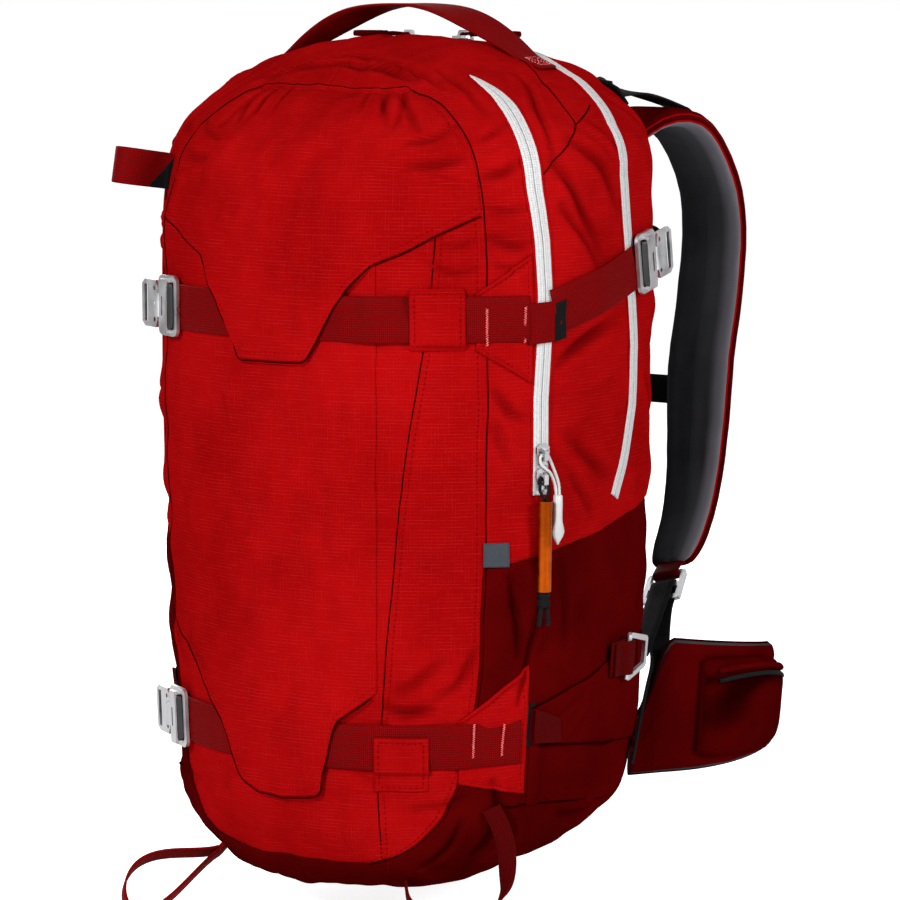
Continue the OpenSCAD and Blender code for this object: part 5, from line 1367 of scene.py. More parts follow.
red_rows = []
for edge, level, rest in TONGUES:
    red_rows.append(surface_stitches(raised(edge, 4.5), tongue_lift(level, rest, 0.3)))
for line in front_outline(5.0):
    red_rows.append(surface_stitches(line, 0.0))
beside = [(a + 1.6, t) for a, t in INNER_SEAM]
red_rows.append(surface_stitches(beside, 0.0))
for patch in (UPPER_TAB, LOWER_TAB):
    red_rows.append(surface_stitches(patch_outline(*patch, 3.4), TAB_LIFT - 0.35))
red_rows.append(surface_stitches(patch_outline(*UPPER_KEEPER, 3.0), over_strap(UPPER_LEVEL, False)))
red_rows.append(surface_stitches(patch_outline(*LOWER_KEEPER, 3.0), over_strap(LOWER_LEVEL, True)))
bag_piece("seam_stitches", join_meshes(red_rows), [RED_THREAD], ())
on_strap = STRAP_LIFT + WEB_T + 0.15
tacks = [tack(-39, 0.6535, 0.6965, on_strap), tack(-30.2, 0.656, 0.697, on_strap),
         tack(-41.5, 0.173, 0.214, on_strap), tack(-34, 0.172, 0.212, on_strap)]
bag_piece("bar_tacks", join_meshes(tacks), [PINK_THREAD], ())

# Dark cords that stand for the shadow lines of the sewn seams (painted shadow): around the front panel, along
# its inner seam, where the hood's panels meet, under the tongues' edges, on the fins and above the side strap


def seam_cord(points, lift=0.0, thick=1.0):
    a, t, _ = even_line(points, 2)
    return cord_mesh(skin(a, t, lift(a, t) if callable(lift) else lift), thick, 8)


def other_side(points):
    return [(-180 - a, t) for a, t in points]


HOOD_SEAMS = [[(-1, 0.971), (-4.5, 0.957), (-7.2, 0.945), (-9, 0.924), (-10, 0.901), (-15, 0.880),
               (-20, 0.863), (-24.0, 0.8455)], [(-10, 0.901), (-5, 0.910), (1, 0.920)]]
right_edge, left_edge = front_outline(-0.3)
front_top = [(a, FRONT_HIGH + 0.0004) for a in np.linspace(-57, -123, 40)]
seam_cords = [seam_cord(right_edge, 0.0, 0.9), seam_cord(left_edge, 0.0, 0.9)]
# The front panel's top seam gets a dark red painted shadow
top_seam = seam_cord(right_edge[-2:] + front_top + left_edge[:-3:-1], -0.1, 0.8)
bag_piece("top_seam_shadow", top_seam, [SEAM_SHADE], ())
for edge, level, rest in TONGUES:
    seam_cords.append(seam_cord(raised(edge, -0.9)[1:-1], tongue_lift(level, rest, 0.6), 0.8))
for line in HOOD_SEAMS:
    seam_cords.append(seam_cord(line, 0.1, 0.9))
    seam_cords.append(seam_cord(other_side(line), 0.1, 0.9))
seam_cords.append(seam_cord(INNER_SEAM, -1.0, 0.9))
SIDE_PLEAT = [(-23.0, 0.425), (-23.8, 0.395), (-25.2, 0.347), (-27.5, 0.285), (-29.8, 0.233)]
seam_cords.append(seam_cord(SIDE_PLEAT, 0.0, 1.2))
seam_cords.append(seam_cord(other_side(SIDE_PLEAT), 0.0, 1.2))
FIN_TOP = [(-26, 0.224), (-16.8, 0.2355), (-8, 0.2465), (0, 0.256), (6, 0.264), (11, 0.2735), (20, 0.2738),
           (31, 0.2738)]
FIN_STEP = [(-23.5, 0.179), (-19, 0.1764), (-10, 0.169), (0, 0.1605), (10, 0.1525), (20, 0.1445),
            (26, 0.1405), (28.6, 0.146), (30.2, 0.16), (31, 0.19), (31.4, 0.24)]
FIN_LOW = [(-35, 0.110), (-27.5, 0.1071), (-17.2, 0.1021), (-2.8, 0.090), (8, 0.079), (15, 0.0728),
           (24, 0.067)]
for line, lift in ((FIN_TOP, 0.6), (FIN_STEP, 3.0), (FIN_LOW, 0.3)):
    seam_cords.append(seam_cord(line, lift, 1.6))
    seam_cords.append(seam_cord(other_side(line), lift, 1.6))
# Painted shadow along the side strap's upper edge
SIDE_STRAP_TOP = [(-20.5, 0.7005), (-12, 0.7125), (-4, 0.7235), (4, 0.7375), (10, 0.7445)]
seam_cords.append(seam_cord(SIDE_STRAP_TOP, 0.4, 2.4))
bag_piece("seam_shadows", join_meshes(seam_cords), [SEAM_DARK], ())

# Turned hems of the strap tabs, and black patches that stand for the shade in the slots that the straps come
# out of (painted shade)


def tab_hem(patch, high_edge):
    a0, a1, low, high = patch
    ends = high if high_edge else low
    a = np.linspace(a0 + 0.4, a1 - 0.4, 24)
    t = mix(ends[0], ends[1], (a - a0) / (a1 - a0)) + (-1.2 if high_edge else 1.2) / BAG_H
    return cord_mesh(skin(a, t, TAB_LIFT - 0.2), 2.4)


hems = [tab_hem(patch, edge) for patch in (UPPER_TAB, LOWER_TAB) for edge in (True, False)]
bag_piece("tab_hems", join_meshes(hems), [RED], ())
# A black patch painted as the shade inside the side strap's slot
slot_shade = patch_mesh(-22.3, -19.4, (0.655, 0.659), (0.699, 0.703), STRAP_LIFT + WEB_T + 0.6, 3.0, 0.3, 10, 20)
bag_piece("strap_slot_shades", slot_shade, [BLACK_WEB], ())
bridge = patch_mesh(-29.2, -22.2, (0.6525, 0.655), (0.7, 0.7015), TAPE_LIFT + TAPE_T + 1.5, 1.3, 0.5, 20,
                    20, 0.2)
bag_piece("strap_bridge", bridge, [RED_WEB], ())

# Back panel, its pads and the hip fins

PAD_FOOT = 0.3


def crown(u, v, edge, middle):
    """Thickness of a pad: thin at its edges and full inside."""
    side = np.clip(np.minimum(u, 1 - u) / 0.2, 0, 1)
    end = np.clip(np.minimum(v, 1 - v) / 0.16, 0, 1)
    round_side = np.sqrt(1 - (1 - side) ** 2)
    round_end = np.sqrt(1 - (1 - end) ** 2)
    return mix(edge, middle, round_side * round_end)


def pad_on_bag(a0, a1, low, high, edge, middle, channels):
    """A crowned pad on the bag with sewn channels across it."""
    step = 3.0
    wide = np.linalg.norm(bag(a1, (low + high) / 2) - bag(a0, (low + high) / 2))
    u = spaced(max(wide, 40), step, 0.8)
    v = spaced((high - low) * BAG_H, step, 0.8)
    a = mix(a0, a1, u)[None] + np.zeros((len(v), 1))
    t = mix(low, high, v)[:, None] + np.zeros((1, len(u)))
    h = crown(u[None], v[:, None], edge, middle)
    for level in channels:
        away = (v[:, None] - level) * (high - low) * BAG_H
        h = h - 0.55 * (middle - edge) * np.exp(-((away / 5.0) ** 2)) * np.ones_like(u)
    return cloth_sheet(a, t, h + 0.5 * relief(a, t), PAD_FOOT)


def back_mesh():
    v = spaced(0.9 * BAG_H, 4, 0.8)
    u = spaced(250, 4, 0.8)
    t = mix(0.034, 0.941, v)[:, None] + np.zeros((1, len(u)))
    a = mix(BACK_SEAM, 180 - BACK_SEAM, u)[None] + np.zeros((len(v), 1))
    edge = np.minimum(roll_off(u, 250, 0.8, 1.6)[None], roll_off(v, 480, 0.8, 1.6)[:, None])
    h = 0.3 * relief(a, t) + edge - 0.1
    return cloth_sheet(a, t, h, h - PANEL_T)


bag_piece("back_panel_cloth", back_mesh(), [DARK], ["back_panel"])
right_pad = pad_on_bag(46, 79, 0.34, 0.775, 3.0, 14, (0.33, 0.66))
left_pad = pad_on_bag(101, 134, 0.34, 0.775, 3.0, 14, (0.33, 0.66))
bag_piece("back_cushions", join_meshes([right_pad, left_pad]), [MESH], ["back_pads"])
bag_piece("lumbar_cushion", pad_on_bag(50, 130, 0.105, 0.315, 3.0, 18.4, (0.5,)), [MESH],
                    ["lumbar_pad"])


# Folds of the fins, given as those of the bag
FIN_FOLDS = [
    ([(-22, 0.20), (-16, 0.212), (-8, 0.236)], 3.2, 0.9),
    ([(-14, 0.185), (-9, 0.205), (-6, 0.23)], 4.5, -0.7),
    ([(-2, 0.235), (4, 0.225), (12, 0.222)], 4.0, 0.6),
    ([(24, 0.17), (27, 0.20), (28, 0.24)], 3.5, 0.8),
    ([(-20, 0.13), (-8, 0.122), (8, 0.118)], 6.0, 0.6),
    ([(10, 0.09), (20, 0.10), (28, 0.12)], 5.0, 0.7),
]


def fin_edge(a, front, rear):
    """Edge of a fin, which slants from its front and then runs level."""
    return mix(front, rear, np.clip((a + 26) / 37, 0, 1))


def fin_mesh(side):
    """A padded fin of two layers: a flap above, whose lower edge is turned, and a wrap below it."""
    u = spaced(150, 2.6, 0.8)
    v = spaced(100, 2.2, 0.8)
    a = mix(-26, 33, u)[None] + np.zeros((len(v), 1))
    low, high = fin_edge(a, 0.105, 0.06), fin_edge(a, 0.222, 0.272)
    t = mix(low, high, v[:, None])
    h = crown(u[None], v[:, None], 0.9, 3.4)
    # The flap's lower edge is a step, open at its front where dark cloth shows
    step = np.interp(a, (-26, -19, 27, 33), (0.181, 0.1764, 0.139, 0.15))
    away = (t - step) * BAG_H
    h = h - 1.9 * ease(-away / 1.6) * ease((a + 24) / 3) - 0.7 * np.exp(-((away / 2.4) ** 2))
    for line, width, depth in FIN_FOLDS:
        off, share = segment_distance(bag(a, t), surface_line(line))
        h = h - depth * crease(off, width) * np.sin(np.pi * np.clip(0.1 + 0.8 * share, 0, 1))
    if side < 0:
        a = 180 - a
    points, faces, uv = cloth_sheet(a, t, h + 0.5 * relief(a, t), PAD_FOOT)
    return points, faces if side > 0 else faces[:, ::-1], uv


bag_piece("fin_pads", join_meshes([fin_mesh(1), fin_mesh(-1)]), [DARK], ["hip_fins"])

# Black patch that stands for the shade in the slot between the lower tab and the fin (painted shade), and the
# webbing that comes out of it onto the fin
fin_slot_shade = patch_mesh(-30.0, -24.6, (0.178, 0.177), (0.227, 0.231), 1.0, 0.8, 0.3, 12, 20)
fin_web = patch_mesh(-25.6, -17.4, (0.183, 0.1785), (0.225, 0.208), 5.2, 1.4, 0.8, 18, 18, 0.2)
for side, turn in SIDES:
    bag_piece(side + "_fin_slot_shade", turn(fin_slot_shade), [BLACK_WEB], ())
    bag_piece(side + "_fin_web", turn(fin_web), [DARK_WEB], ())

# Grab handle on the hood

HANDLE_W = 22
HANDLE_T = 2
HANDLE_H = 33
HANDLE_X = 86
HANDLE_BACK = 11
FOOT_L = 14


def hood_point(x, lift):
    """Point on the hood at a distance from its middle, on the line of the handle."""
    angle = math.degrees(math.atan2(HANDLE_BACK, x))
    reach = math.hypot(x, HANDLE_BACK)
    low, high = HOOD_START, 1.0
    for _ in range(40):
        mid = (low + high) / 2
        if np.linalg.norm(bag(angle, mid)[:2] - np.array([0, AXIS_Y])) > reach:
            low = mid
        else:
            high = mid
    return bag(angle, low) + bag_normal(angle, low) * lift


def handle_path():
    foot = hood_point(HANDLE_X, SEAM + HANDLE_T / 2)
    half = [hood_point(HANDLE_X + FOOT_L, SEAM + HANDLE_T / 2),
            hood_point(HANDLE_X + FOOT_L / 2, SEAM + HANDLE_T / 2), foot]
    for k in range(1, 8):
        s = 1 - k / 7
        half.append(np.array([foot[0] * s, foot[1], foot[2] + HANDLE_H * (1 - s * s)]))
    return np.array(half + [flip(p) for p in half[-2::-1]])


handle = curve(handle_path(), 6)
share = np.linspace(-1, 1, len(handle))
tilt = np.radians(26 * np.sin(share * 3.2) * np.exp(-((np.abs(share) - 0.45) / 0.35) ** 2))
handle_h = headings(handle)
handle_up = unit(np.cross(handle_h, [0, 1, 0]))
handle_side = np.array([0, 1, 0]) * np.cos(tilt)[:, None] + handle_up * np.sin(tilt)[:, None]
bag_piece("handle", ribbon_mesh(handle, handle_side, HANDLE_W, HANDLE_T, 1.8), [RED_WEB], ["grab_handle"])

# Crossed box of pink stitches on each foot of the handle


def foot_box():
    low, high = hood_point(HANDLE_X + FOOT_L - 1.5, 0), hood_point(HANDLE_X + 1.0, 0)
    up = unit(np.cross(high - low, [0, -1.0, 0]))
    up = up if up[2] > 0 else -up
    over = up * (SEAM + HANDLE_T + 0.25)
    rows = []
    corners = [(0.05, -8), (0.95, -8), (0.95, 8), (0.05, 8), (0.05, -8)]
    for line in (corners, [(0.05, -8), (0.95, 8)], [(0.05, 8), (0.95, -8)]):
        path = np.array([mix(low, high, u) + np.array([0, w, 0]) + over for u, w in line])
        for k in range(len(path) - 1):
            rows.append(stitches(path[k : k + 2], np.repeat(up[None], 2, 0), 1.6, 0.5, 0.5))
    return join_meshes(rows)


bag_piece("handle_stitches", both(foot_box()), [PINK_THREAD], ())

# Webbing loops

LOOP_W = 12
LEG_GAP = (WEB_T + SEAM) * 1.02


def flat_out(a, t):
    n = bag_normal(a, t)
    return unit(np.array([n[0], n[1], 0]))


TOOL_ANGLE = -128
TOOL_REACH = 66
TOOL_TURN = math.radians(40)
LOOP_ROOT = 6


def sewn_in(points, inward):
    """A loop's path with both its ends carried into the seam."""
    return np.vstack([points[:1] + inward, points, points[-1:] + inward])


def tool_loop():
    n = bag_normal(TOOL_ANGLE, BASE_SEAM)
    out = flat_out(TOOL_ANGLE, BASE_SEAM)
    side = np.cross([0, 0, 1], out)
    down = np.array([0, 0, -math.cos(TOOL_TURN)]) + side * math.sin(TOOL_TURN)
    o = bag(TOOL_ANGLE, BASE_SEAM) + n * (WEB_T + 3)
    points = []
    for s in np.linspace(0, 1, 57):
        a = 2 * np.pi * s
        reach = (1 - math.cos(a)) / 2
        fall = (TOOL_REACH * 0.42 - 27 * math.sin(a)) * reach + (s - 0.5) * LEG_GAP
        points.append(o + out * TOOL_REACH * reach + down * fall)
    return ribbon_mesh(sewn_in(np.array(points), -n * LOOP_ROOT), np.cross(out, down), LOOP_W, WEB_T, 1.6)


SKI_PLACE = (-147, 0.838)
SKI_W = 23
SKI_L = 33
ski_normal = bag_normal(*SKI_PLACE)
ski_flat = flat_out(*SKI_PLACE)
ski_side = np.cross([0, 0, 1], ski_flat)
ski_out = unit(ski_flat + np.array([0, 0, 0.14]))
ski_up = np.cross(ski_out, ski_side)


def ski_path(share):
    """Middle line of the ski loop, from one sewn end to the other."""
    a = 2 * np.pi * share
    reach = (1 - np.cos(a)) / 2
    o = bag(*SKI_PLACE) + ski_normal * (SKI_W / 2 * abs(ski_normal[2]) + 0.85)
    bulge = 13 * np.sin(a) * reach - (share - 0.5) * LEG_GAP
    return o + ski_out * (SKI_L * reach)[:, None] + ski_side * bulge[:, None]


def ski_loop():
    path = sewn_in(ski_path(np.linspace(0, 1, 57)), -ski_normal * LOOP_ROOT)
    return ribbon_mesh(path, ski_up, SKI_W, WEB_T, 1.6)


def ski_fold_shadow():
    """A black sheet painted as the shadow in the fold where the ski loop turns over at its sewn end."""
    path = ski_path(np.linspace(0.0, 0.19, 16))
    path = np.vstack([path[:1] - ski_normal * LOOP_ROOT * 0.7, path])
    out = (path - path[0]) @ ski_out
    tall = 20 * (1 - out / out[-1]) + 0.6
    rows = [path + ski_up * (k * tall - SKI_W / 2)[:, None] for k in np.linspace(0, 1, 8)]
    middle = np.stack(rows, 1)
    return sheet_mesh(middle + ski_side * (WEB_T / 2 + 0.5), middle + ski_side * (WEB_T / 2 + 0.1))


def right_loop():
    top, low = LOWER_LEVEL - 0.075, BASE_SEAM * 0.5
    a = bag(-37, top) + bag_normal(-37, top) * (SEAM * 2 + TAPE_T + WEB_T / 2 + 3)
    b = bag(-58, low) + bag_normal(-58, low) * (SEAM + WEB_T / 2)
    out = np.array([math.cos(math.radians(-37)), math.sin(math.radians(-37)), 0])
    across = np.array([0.5, -math.cos(math.radians(30)), 0])
    right = np.array([math.cos(math.radians(30)), 0.5, 0])
    down = np.array([0, 0, -1.0])
    path = curve([a, a + right * 7 + down * 16, a + right * 10 + down * 36, a + right * 7 + down * 54,
                  a - right * 6 + down * 70, mix(a, b, 0.62) + down * 38 + out * 4,
                  b + out * 10 + down * 11, b], 10)
    turned = across * 0.75 + np.array([0, 0, 0.65])
    share = np.clip(np.arange(len(path)) / (len(path) - 1) * 21 / 14, 0, 1)
    sides = mix(right, turned, ((1 - np.cos(np.pi * share)) / 2)[:, None])
    return ribbon_mesh(path, sides, LOOP_W, WEB_T, 1.6)


bag_piece("tool_loop_left", tool_loop(), [RED_WEB], ["left_tool_loop"], "left_tool_loop")
bag_piece("tool_loop_right", right_loop(), [DARK_WEB], ["right_tool_loop"])
bag_piece("ski_loop_webbing", ski_loop(), [RED_WEB], ["ski_loop"], "ski_loop")
# Painted shadow in the ski loop's fold
bag_piece("ski_loop_fold_shadow", ski_fold_shadow(), [BLACK_WEB], (), "ski_loop")

# Shoulder harness

PIPE_D = 3.4
PAD_W = 56
PAD_T = 13
PAD_TIP_W = 38
PAD_GAP = 134
PAD_REACH = 172
PAD_COURSE = [(0, 0, 0.812), (4, 0.22, 0.866), (8, 0.52, 0.893), (12, 0.81, 0.880), (18, 0.985, 0.815),
              (23, 1, 0.742), (29, 0.885, 0.651), (33, 0.77, 0.575), (40, 0.65, 0.455), (45, 0.52, 0.385),
              (47, 0.36, 0.332)]
pad_points = np.array([(PAD_GAP / 2 + x, BACK_Y + 2.9 + PAD_REACH * y, BASE_Z + BAG_H * z)
                       for x, y, z in PAD_COURSE])
PAD_PATH = curve(pad_points, 3)
PAD_N = len(PAD_PATH) - 1
PAD_SIDE = np.array([math.cos(math.radians(18)), -math.sin(math.radians(18)), 0])


def frames(path, side):
    """Middle line, side, outward and forward directions along a pad."""
    h = headings(path)
    s = unit(side - h * (h * side).sum(-1, keepdims=True))
    return path, s, np.cross(s, h), h


pad_side = mix(np.array([1.0, 0, 0]), PAD_SIDE, np.clip(np.arange(PAD_N + 1) / 9, 0, 1)[:, None])
PAD_AXES = frames(PAD_PATH, pad_side)


def pad_axes(i):
    return [axis[i] for axis in PAD_AXES]


def signed_power(v, e):
    return np.sign(v) * np.abs(v) ** e


def cushion(path, side, width, thick, cols=40, groove=14.0, wrinkle=0.6, seed=3):
    """A foam pad between two cloths: rings of points, with a channel inside each edge of its inner face."""
    o, s, n, _ = frames(path, side)
    a = np.linspace(-np.pi / 2, 1.5 * np.pi, cols + 1)
    c, k = signed_power(np.cos(a), 0.42), signed_power(np.sin(a), 0.62)
    wave = np.random.default_rng(seed)
    run = lengths(path)
    rings = []
    for i in range(len(path)):
        x = c * width[i] / 2
        z = k * thick[i] / 2
        inner = z < 0
        away = width[i] / 2 - np.abs(x)
        z = z + np.where(inner, 1.6 * np.exp(-(((away - groove) / 2.2) ** 2)),
                         -0.5 * np.exp(-(((away - 8) / 1.6) ** 2)))
        rings.append(o[i] + s[i] * x[:, None] + n[i] * z[:, None])
    rings = np.array(rings)
    for _ in range(16):
        at, width_of = wave.uniform(0.06, 0.94) * run[-1], wave.uniform(5, 11)
        lean = wave.uniform(-0.5, 0.5)
        deep = wave.uniform(-1, 1) * wrinkle
        across = np.array([((ring - o[i]) @ s[i]) for i, ring in enumerate(rings)])
        off = run[:, None] + lean * across - at
        face = np.where(k < -0.5, 1.0, 0.35)[None]
        rings += (deep * face * np.exp(-((off / width_of) ** 2)))[..., None] * n[:, None]
    return rings


def pad_faces(rings):
    """Material number of each face of a pad: the wearer's side is the lining."""
    rows, cols = rings.shape[:2]
    a = np.linspace(-np.pi / 2, 1.5 * np.pi, cols)
    mid = (a[1:] + a[:-1]) / 2
    lining = np.sin(mid) < -0.35
    return np.concatenate([np.tile(np.where(lining, 1, 0), rows - 1), [0, 0]])


pad_run = lengths(PAD_PATH)
fine_path = resample(np.hstack([PAD_PATH, PAD_AXES[1]]), 3.2)
fine_share = np.linspace(0, 1, len(fine_path))
fine_w = np.where(fine_share < 0.7, PAD_W, mix(PAD_W, PAD_TIP_W, ease((fine_share - 0.7) / 0.3)))
end_room = np.minimum(fine_share, 1 - fine_share) * pad_run[-1]
fine_t = PAD_T * mix(0.45, 1, np.sqrt(1 - (1 - np.clip(end_room / 30, 0, 1)) ** 2))
tip = np.sqrt(1 - (1 - np.clip((1 - fine_share) * pad_run[-1] / 22, 0, 1)) ** 2)
fine_w = fine_w * mix(0.62, 1, tip)
PAD_RINGS = cushion(fine_path[:, :3], fine_path[:, 3:], fine_w, fine_t)


def edge_line(path, side, width, share_out, lift):
    o, s, n, _ = frames(path, side)
    return o + s * (width / 2 * share_out)[:, None] + n * lift


LOCK_BAR = 3.2
LOCK_MID = -10.5
LOCK_LOW = -21
tip_axes = pad_axes(PAD_N)
lock_origin = tip_axes[0] + tip_axes[3] * 9
ANCHOR = np.array([(23.5, 0.11, 0.5), (26, 0.142, 0.7), (28.2, 0.176, 2.4)])
anchor_normal = bag_normal(ANCHOR[:, 0], ANCHOR[:, 1])
anchor_lift = FIN_T + SEAM + WEB_T / 2 + ANCHOR[:, 2]
anchor_path = bag(ANCHOR[:, 0], ANCHOR[:, 1]) + anchor_normal * anchor_lift[:, None]
lower_anchor = anchor_path[2]
lock_y = unit(mix(unit(tip_axes[0] - lock_origin), unit(lock_origin - lower_anchor), 0.5))
lock_x = unit(tip_axes[1] - lock_y * (lock_y @ tip_axes[1]))
lock_z = np.cross(lock_x, lock_y)
LOCK = (lock_origin, lock_x, lock_y, lock_z)
LOCK_TURN = LOCK_BAR / 2 + SEAM * 1.7 + WEB_T / 2
LOCK_FOLD = 1.5 + SEAM * 1.6 + WEB_T / 2


def lock_tab():
    flat = [(0, LOCK_TURN * math.cos(math.radians(k)), LOCK_TURN * math.sin(math.radians(k)))
            for k in range(60, 301, 30)]
    flat.append((0, 4.2, -LOCK_TURN * 0.55))
    path = np.vstack([(tip_axes[0] - tip_axes[3] * 6)[None], in_axes(LOCK, flat)])
    return ribbon_mesh(curve(path, 4), lock_x, 20, WEB_T, 1.4)


def with_painted_shading(mesh, painted_shading):
    """A mesh with painted shading at each point, for the points of its rings; points after them get 0."""
    points, faces, uv = mesh
    column = np.zeros(len(points))
    column[: painted_shading.size] = painted_shading.ravel()
    return points, faces, np.hstack([uv[:, :2], column[:, None]])


# Painted light and shade on the pads: the lining is paler along the outer edge and darker along the inner
# edge
pad_angles = np.linspace(-np.pi / 2, 1.5 * np.pi, PAD_RINGS.shape[1])
pad_across = signed_power(np.cos(pad_angles), 0.42)
pad_painted_shading = 0.35 * ease((0.1 - pad_across) / 1.0) - 0.75 * ease((pad_across - 0.3) / 0.45)
pad_painted_shading = np.where(np.sin(pad_angles) < 0.2, pad_painted_shading, 0.0)
pad_mesh = with_painted_shading(tube_mesh(PAD_RINGS), np.repeat(pad_painted_shading[None], len(PAD_RINGS), 0))
pad_slots = pad_faces(PAD_RINGS)
pipe_lines = [edge_line(fine_path[:, :3], fine_path[:, 3:], fine_w, s * 0.985, 0.0) for s in (-1, 1)]
pipes = join_meshes([cord_mesh(p, PIPE_D, 8) for p in pipe_lines])
for side, turn in SIDES:
    node = side + "_shoulder_pad"
    piece = bag_piece(side + "_pad", turn(pad_mesh), [DARK, LINING], [node], "harness",
                      pad_slots)
    bag_piece(side + "_pad_binding", turn(pipes), [SEAM_SHADE], (), "harness")
    bag_piece(side + "_pad_tab", turn(lock_tab()), [DARK_WEB], (), "harness")


def lower_webbing():
    turn = LOCK_MID + 1.8 + SEAM * 1.6 + WEB_T / 2
    fold = [(0, LOCK_LOW - 6, -LOCK_FOLD), (0, LOCK_MID, -LOCK_FOLD), (0, turn - 0.6, -LOCK_FOLD * 0.7),
            (0, turn, 0), (0, turn - 0.6, LOCK_FOLD * 0.7), (0, LOCK_MID, LOCK_FOLD),
            (0, LOCK_LOW, LOCK_FOLD), (0, LOCK_LOW - 12, LOCK_FOLD * 1.3),
            (0, LOCK_LOW - 55, LOCK_FOLD * 2.6)]
    lock_run = in_axes(LOCK, np.array(fold, float))
    middle = mix(lower_anchor, lock_run[0], 0.5) + np.array([1.0, 0, 0])
    climb = curve(np.vstack([anchor_path, middle[None], lock_run[:1]]), 3)[:-1]
    n = len(climb)
    fin_side = unit(np.cross(anchor_path[2] - anchor_path[0], anchor_normal[1]))
    share = np.clip((np.arange(n) - 8) / (n - 9), 0, 1)
    sides = mix(fin_side, lock_x, ((1 - np.cos(np.pi * share)) / 2)[:, None])
    both_sides = np.vstack([sides, np.repeat(lock_x[None], len(lock_run), 0)])
    fine = curve(np.hstack([np.vstack([climb, lock_run]), both_sides]), 4)
    return ribbon_mesh(fine[:, :3], fine[:, 3:], 18, WEB_T, 1.6)


blended("harness_webbings", both(lower_webbing()), BLACK_WEB, "lower_webbings")


def load_lifter():
    out = PAD_T / 2 + SEAM * 4.5 + WEB_T / 2
    foot = np.array([(34, 0.925), (38, 0.93), (42, 0.934)])
    n = bag_normal(foot[:, 0], foot[:, 1])
    on_bag = bag(foot[:, 0], foot[:, 1]) + n * (SEAM + WEB_T / 2 + 0.7)
    across = np.cross(headings(on_bag), n)
    top = [PAD_AXES[0][i] + PAD_AXES[2][i] * out for i in (8, 9, 10)]
    path = np.vstack([on_bag, [mix(on_bag[2], top[0], 0.5) + np.array([0, 0, 2])],
                      [top[0] + np.array([0, 0, 0.4])], top[1:]])
    sides = np.vstack([across, np.repeat(np.array([[1.0, 0, 0]]), len(path) - 3, 0)])
    fine = curve(np.hstack([path, sides]), 6)
    return ribbon_mesh(fine[:, :3], fine[:, 3:], 15, WEB_T, 1.6), on_bag[2], top[0]


lifter, lifter_from, lifter_to = load_lifter()
blended("lifter_webbings", both(lifter), BLACK_WEB, "load_lifters")

# Sternum strap

RAIL_W = 8
RAIL_T = 2


def rail_end(i):
    o, s, n, _ = pad_axes(i)
    p = o + n * (PAD_T / 2 + SEAM + RAIL_T / 2)
    return p + s * (PAD_GAP / 2 + 22 - p[0]) / s[0]


rail_a, rail_b = rail_end(18), rail_end(24)
rail_dir = unit(rail_a - rail_b)
rail_side = unit(PAD_SIDE - rail_dir * (rail_dir @ PAD_SIDE))
rail_out = np.cross(rail_dir, rail_side)
sternum_out = unit(np.array([0, rail_dir[2], -rail_dir[1]]))
sternum_pin = (rail_a + rail_b) / 2 + rail_out * (RAIL_T / 2 + SEAM * 2 + 2 + WEB_T / 2)
sternum_end = sternum_pin + sternum_out * 8
sternum_end[0] = 22 + SEAM
sternum_path = curve([sternum_pin + rail_side * (RAIL_W / 2 + 1), sternum_pin - rail_side * (RAIL_W / 2 + 1),
                      sternum_pin - rail_side * 18 + sternum_out * 5, sternum_end], 12)
sternum_mesh = ribbon_mesh(sternum_path, rail_dir, 20, WEB_T, 1.6)
bag_piece("sternum_webbing", both(sternum_mesh), [BLACK_WEB], ["sternum_strap"], "sternum")

# Hip belt

WING_H = 92
WING_T = 12
WING_END_H = 66
WING_REACH = 140
wing_root = bag(35, 0.17) + bag_normal(35, 0.17) * (WING_T * 0.275 + SEAM * 2)
WING_COURSE = [(0, 0), (0.21, 0.2), (0.3, 0.45), (0.29, 0.75), (0.2, 1)]
WING_ROOT_H = 36
WING_GROW = 2.6
WING_DROP = 14
WING_PATH = curve([wing_root + np.array([WING_REACH * x, (WING_REACH + WING_DROP) * y, -WING_DROP * y])
                   for x, y in WING_COURSE], 4)
WING_N = len(WING_PATH) - 1


def wing_height(share):
    """Height of the wing, which is low at its root, and how far its middle lies below the full wing's."""
    full = mix(WING_H, WING_END_H, share)
    grown = (1 - np.cos(np.pi * np.clip(share * WING_N / WING_GROW, 0, 1))) / 2
    tall = mix(WING_ROOT_H, full, grown)
    return tall, (full - tall) / 2


def wing_frames(path):
    h = headings(path)
    s = unit(np.array([0, 0, 1.0]) - h * h[:, 2:3])
    drop = wing_height(np.linspace(0, 1, len(path)))[1]
    return path - drop[:, None] * np.array([0, 0, 1.0]), s, unit(np.cross(h, [0, 0, 1.0])), h


wing_line = resample(WING_PATH, 3.4)
wing_share = np.linspace(0, 1, len(wing_line))
wing_run = lengths(wing_line)[-1]
wing_h = wing_height(wing_share)[0]
wing_end = np.minimum(wing_share, 1 - wing_share) * wing_run
wing_t = WING_T * mix(0.5, 1, np.sqrt(1 - (1 - np.clip(wing_end / 26, 0, 1)) ** 2))
wing_h = wing_h * mix(0.82, 1, np.sqrt(1 - (1 - np.clip((1 - wing_share) * wing_run / 24, 0, 1)) ** 2))


wing_middle, wing_side, wing_out, _ = wing_frames(wing_line)
wing_rings = cushion(wing_line, wing_side, wing_h, wing_t, 44, 12.0, 0.7, 5)
wing_rings = wing_rings + (wing_middle - wing_line)[:, None]
# A wing's rings run the other way round than a pad's, so its wearer's side is the other half
wing_slots = 1 - pad_faces(wing_rings)

POCKET_FIRST = 4 / WING_N
POCKET_LAST = 12 / WING_N


def pocket_places(inset):
    """Numbers of the wing's rings that the pocket covers."""
    covered = (wing_share >= POCKET_FIRST + inset) & (wing_share <= POCKET_LAST - inset)
    return np.where(covered)[0]


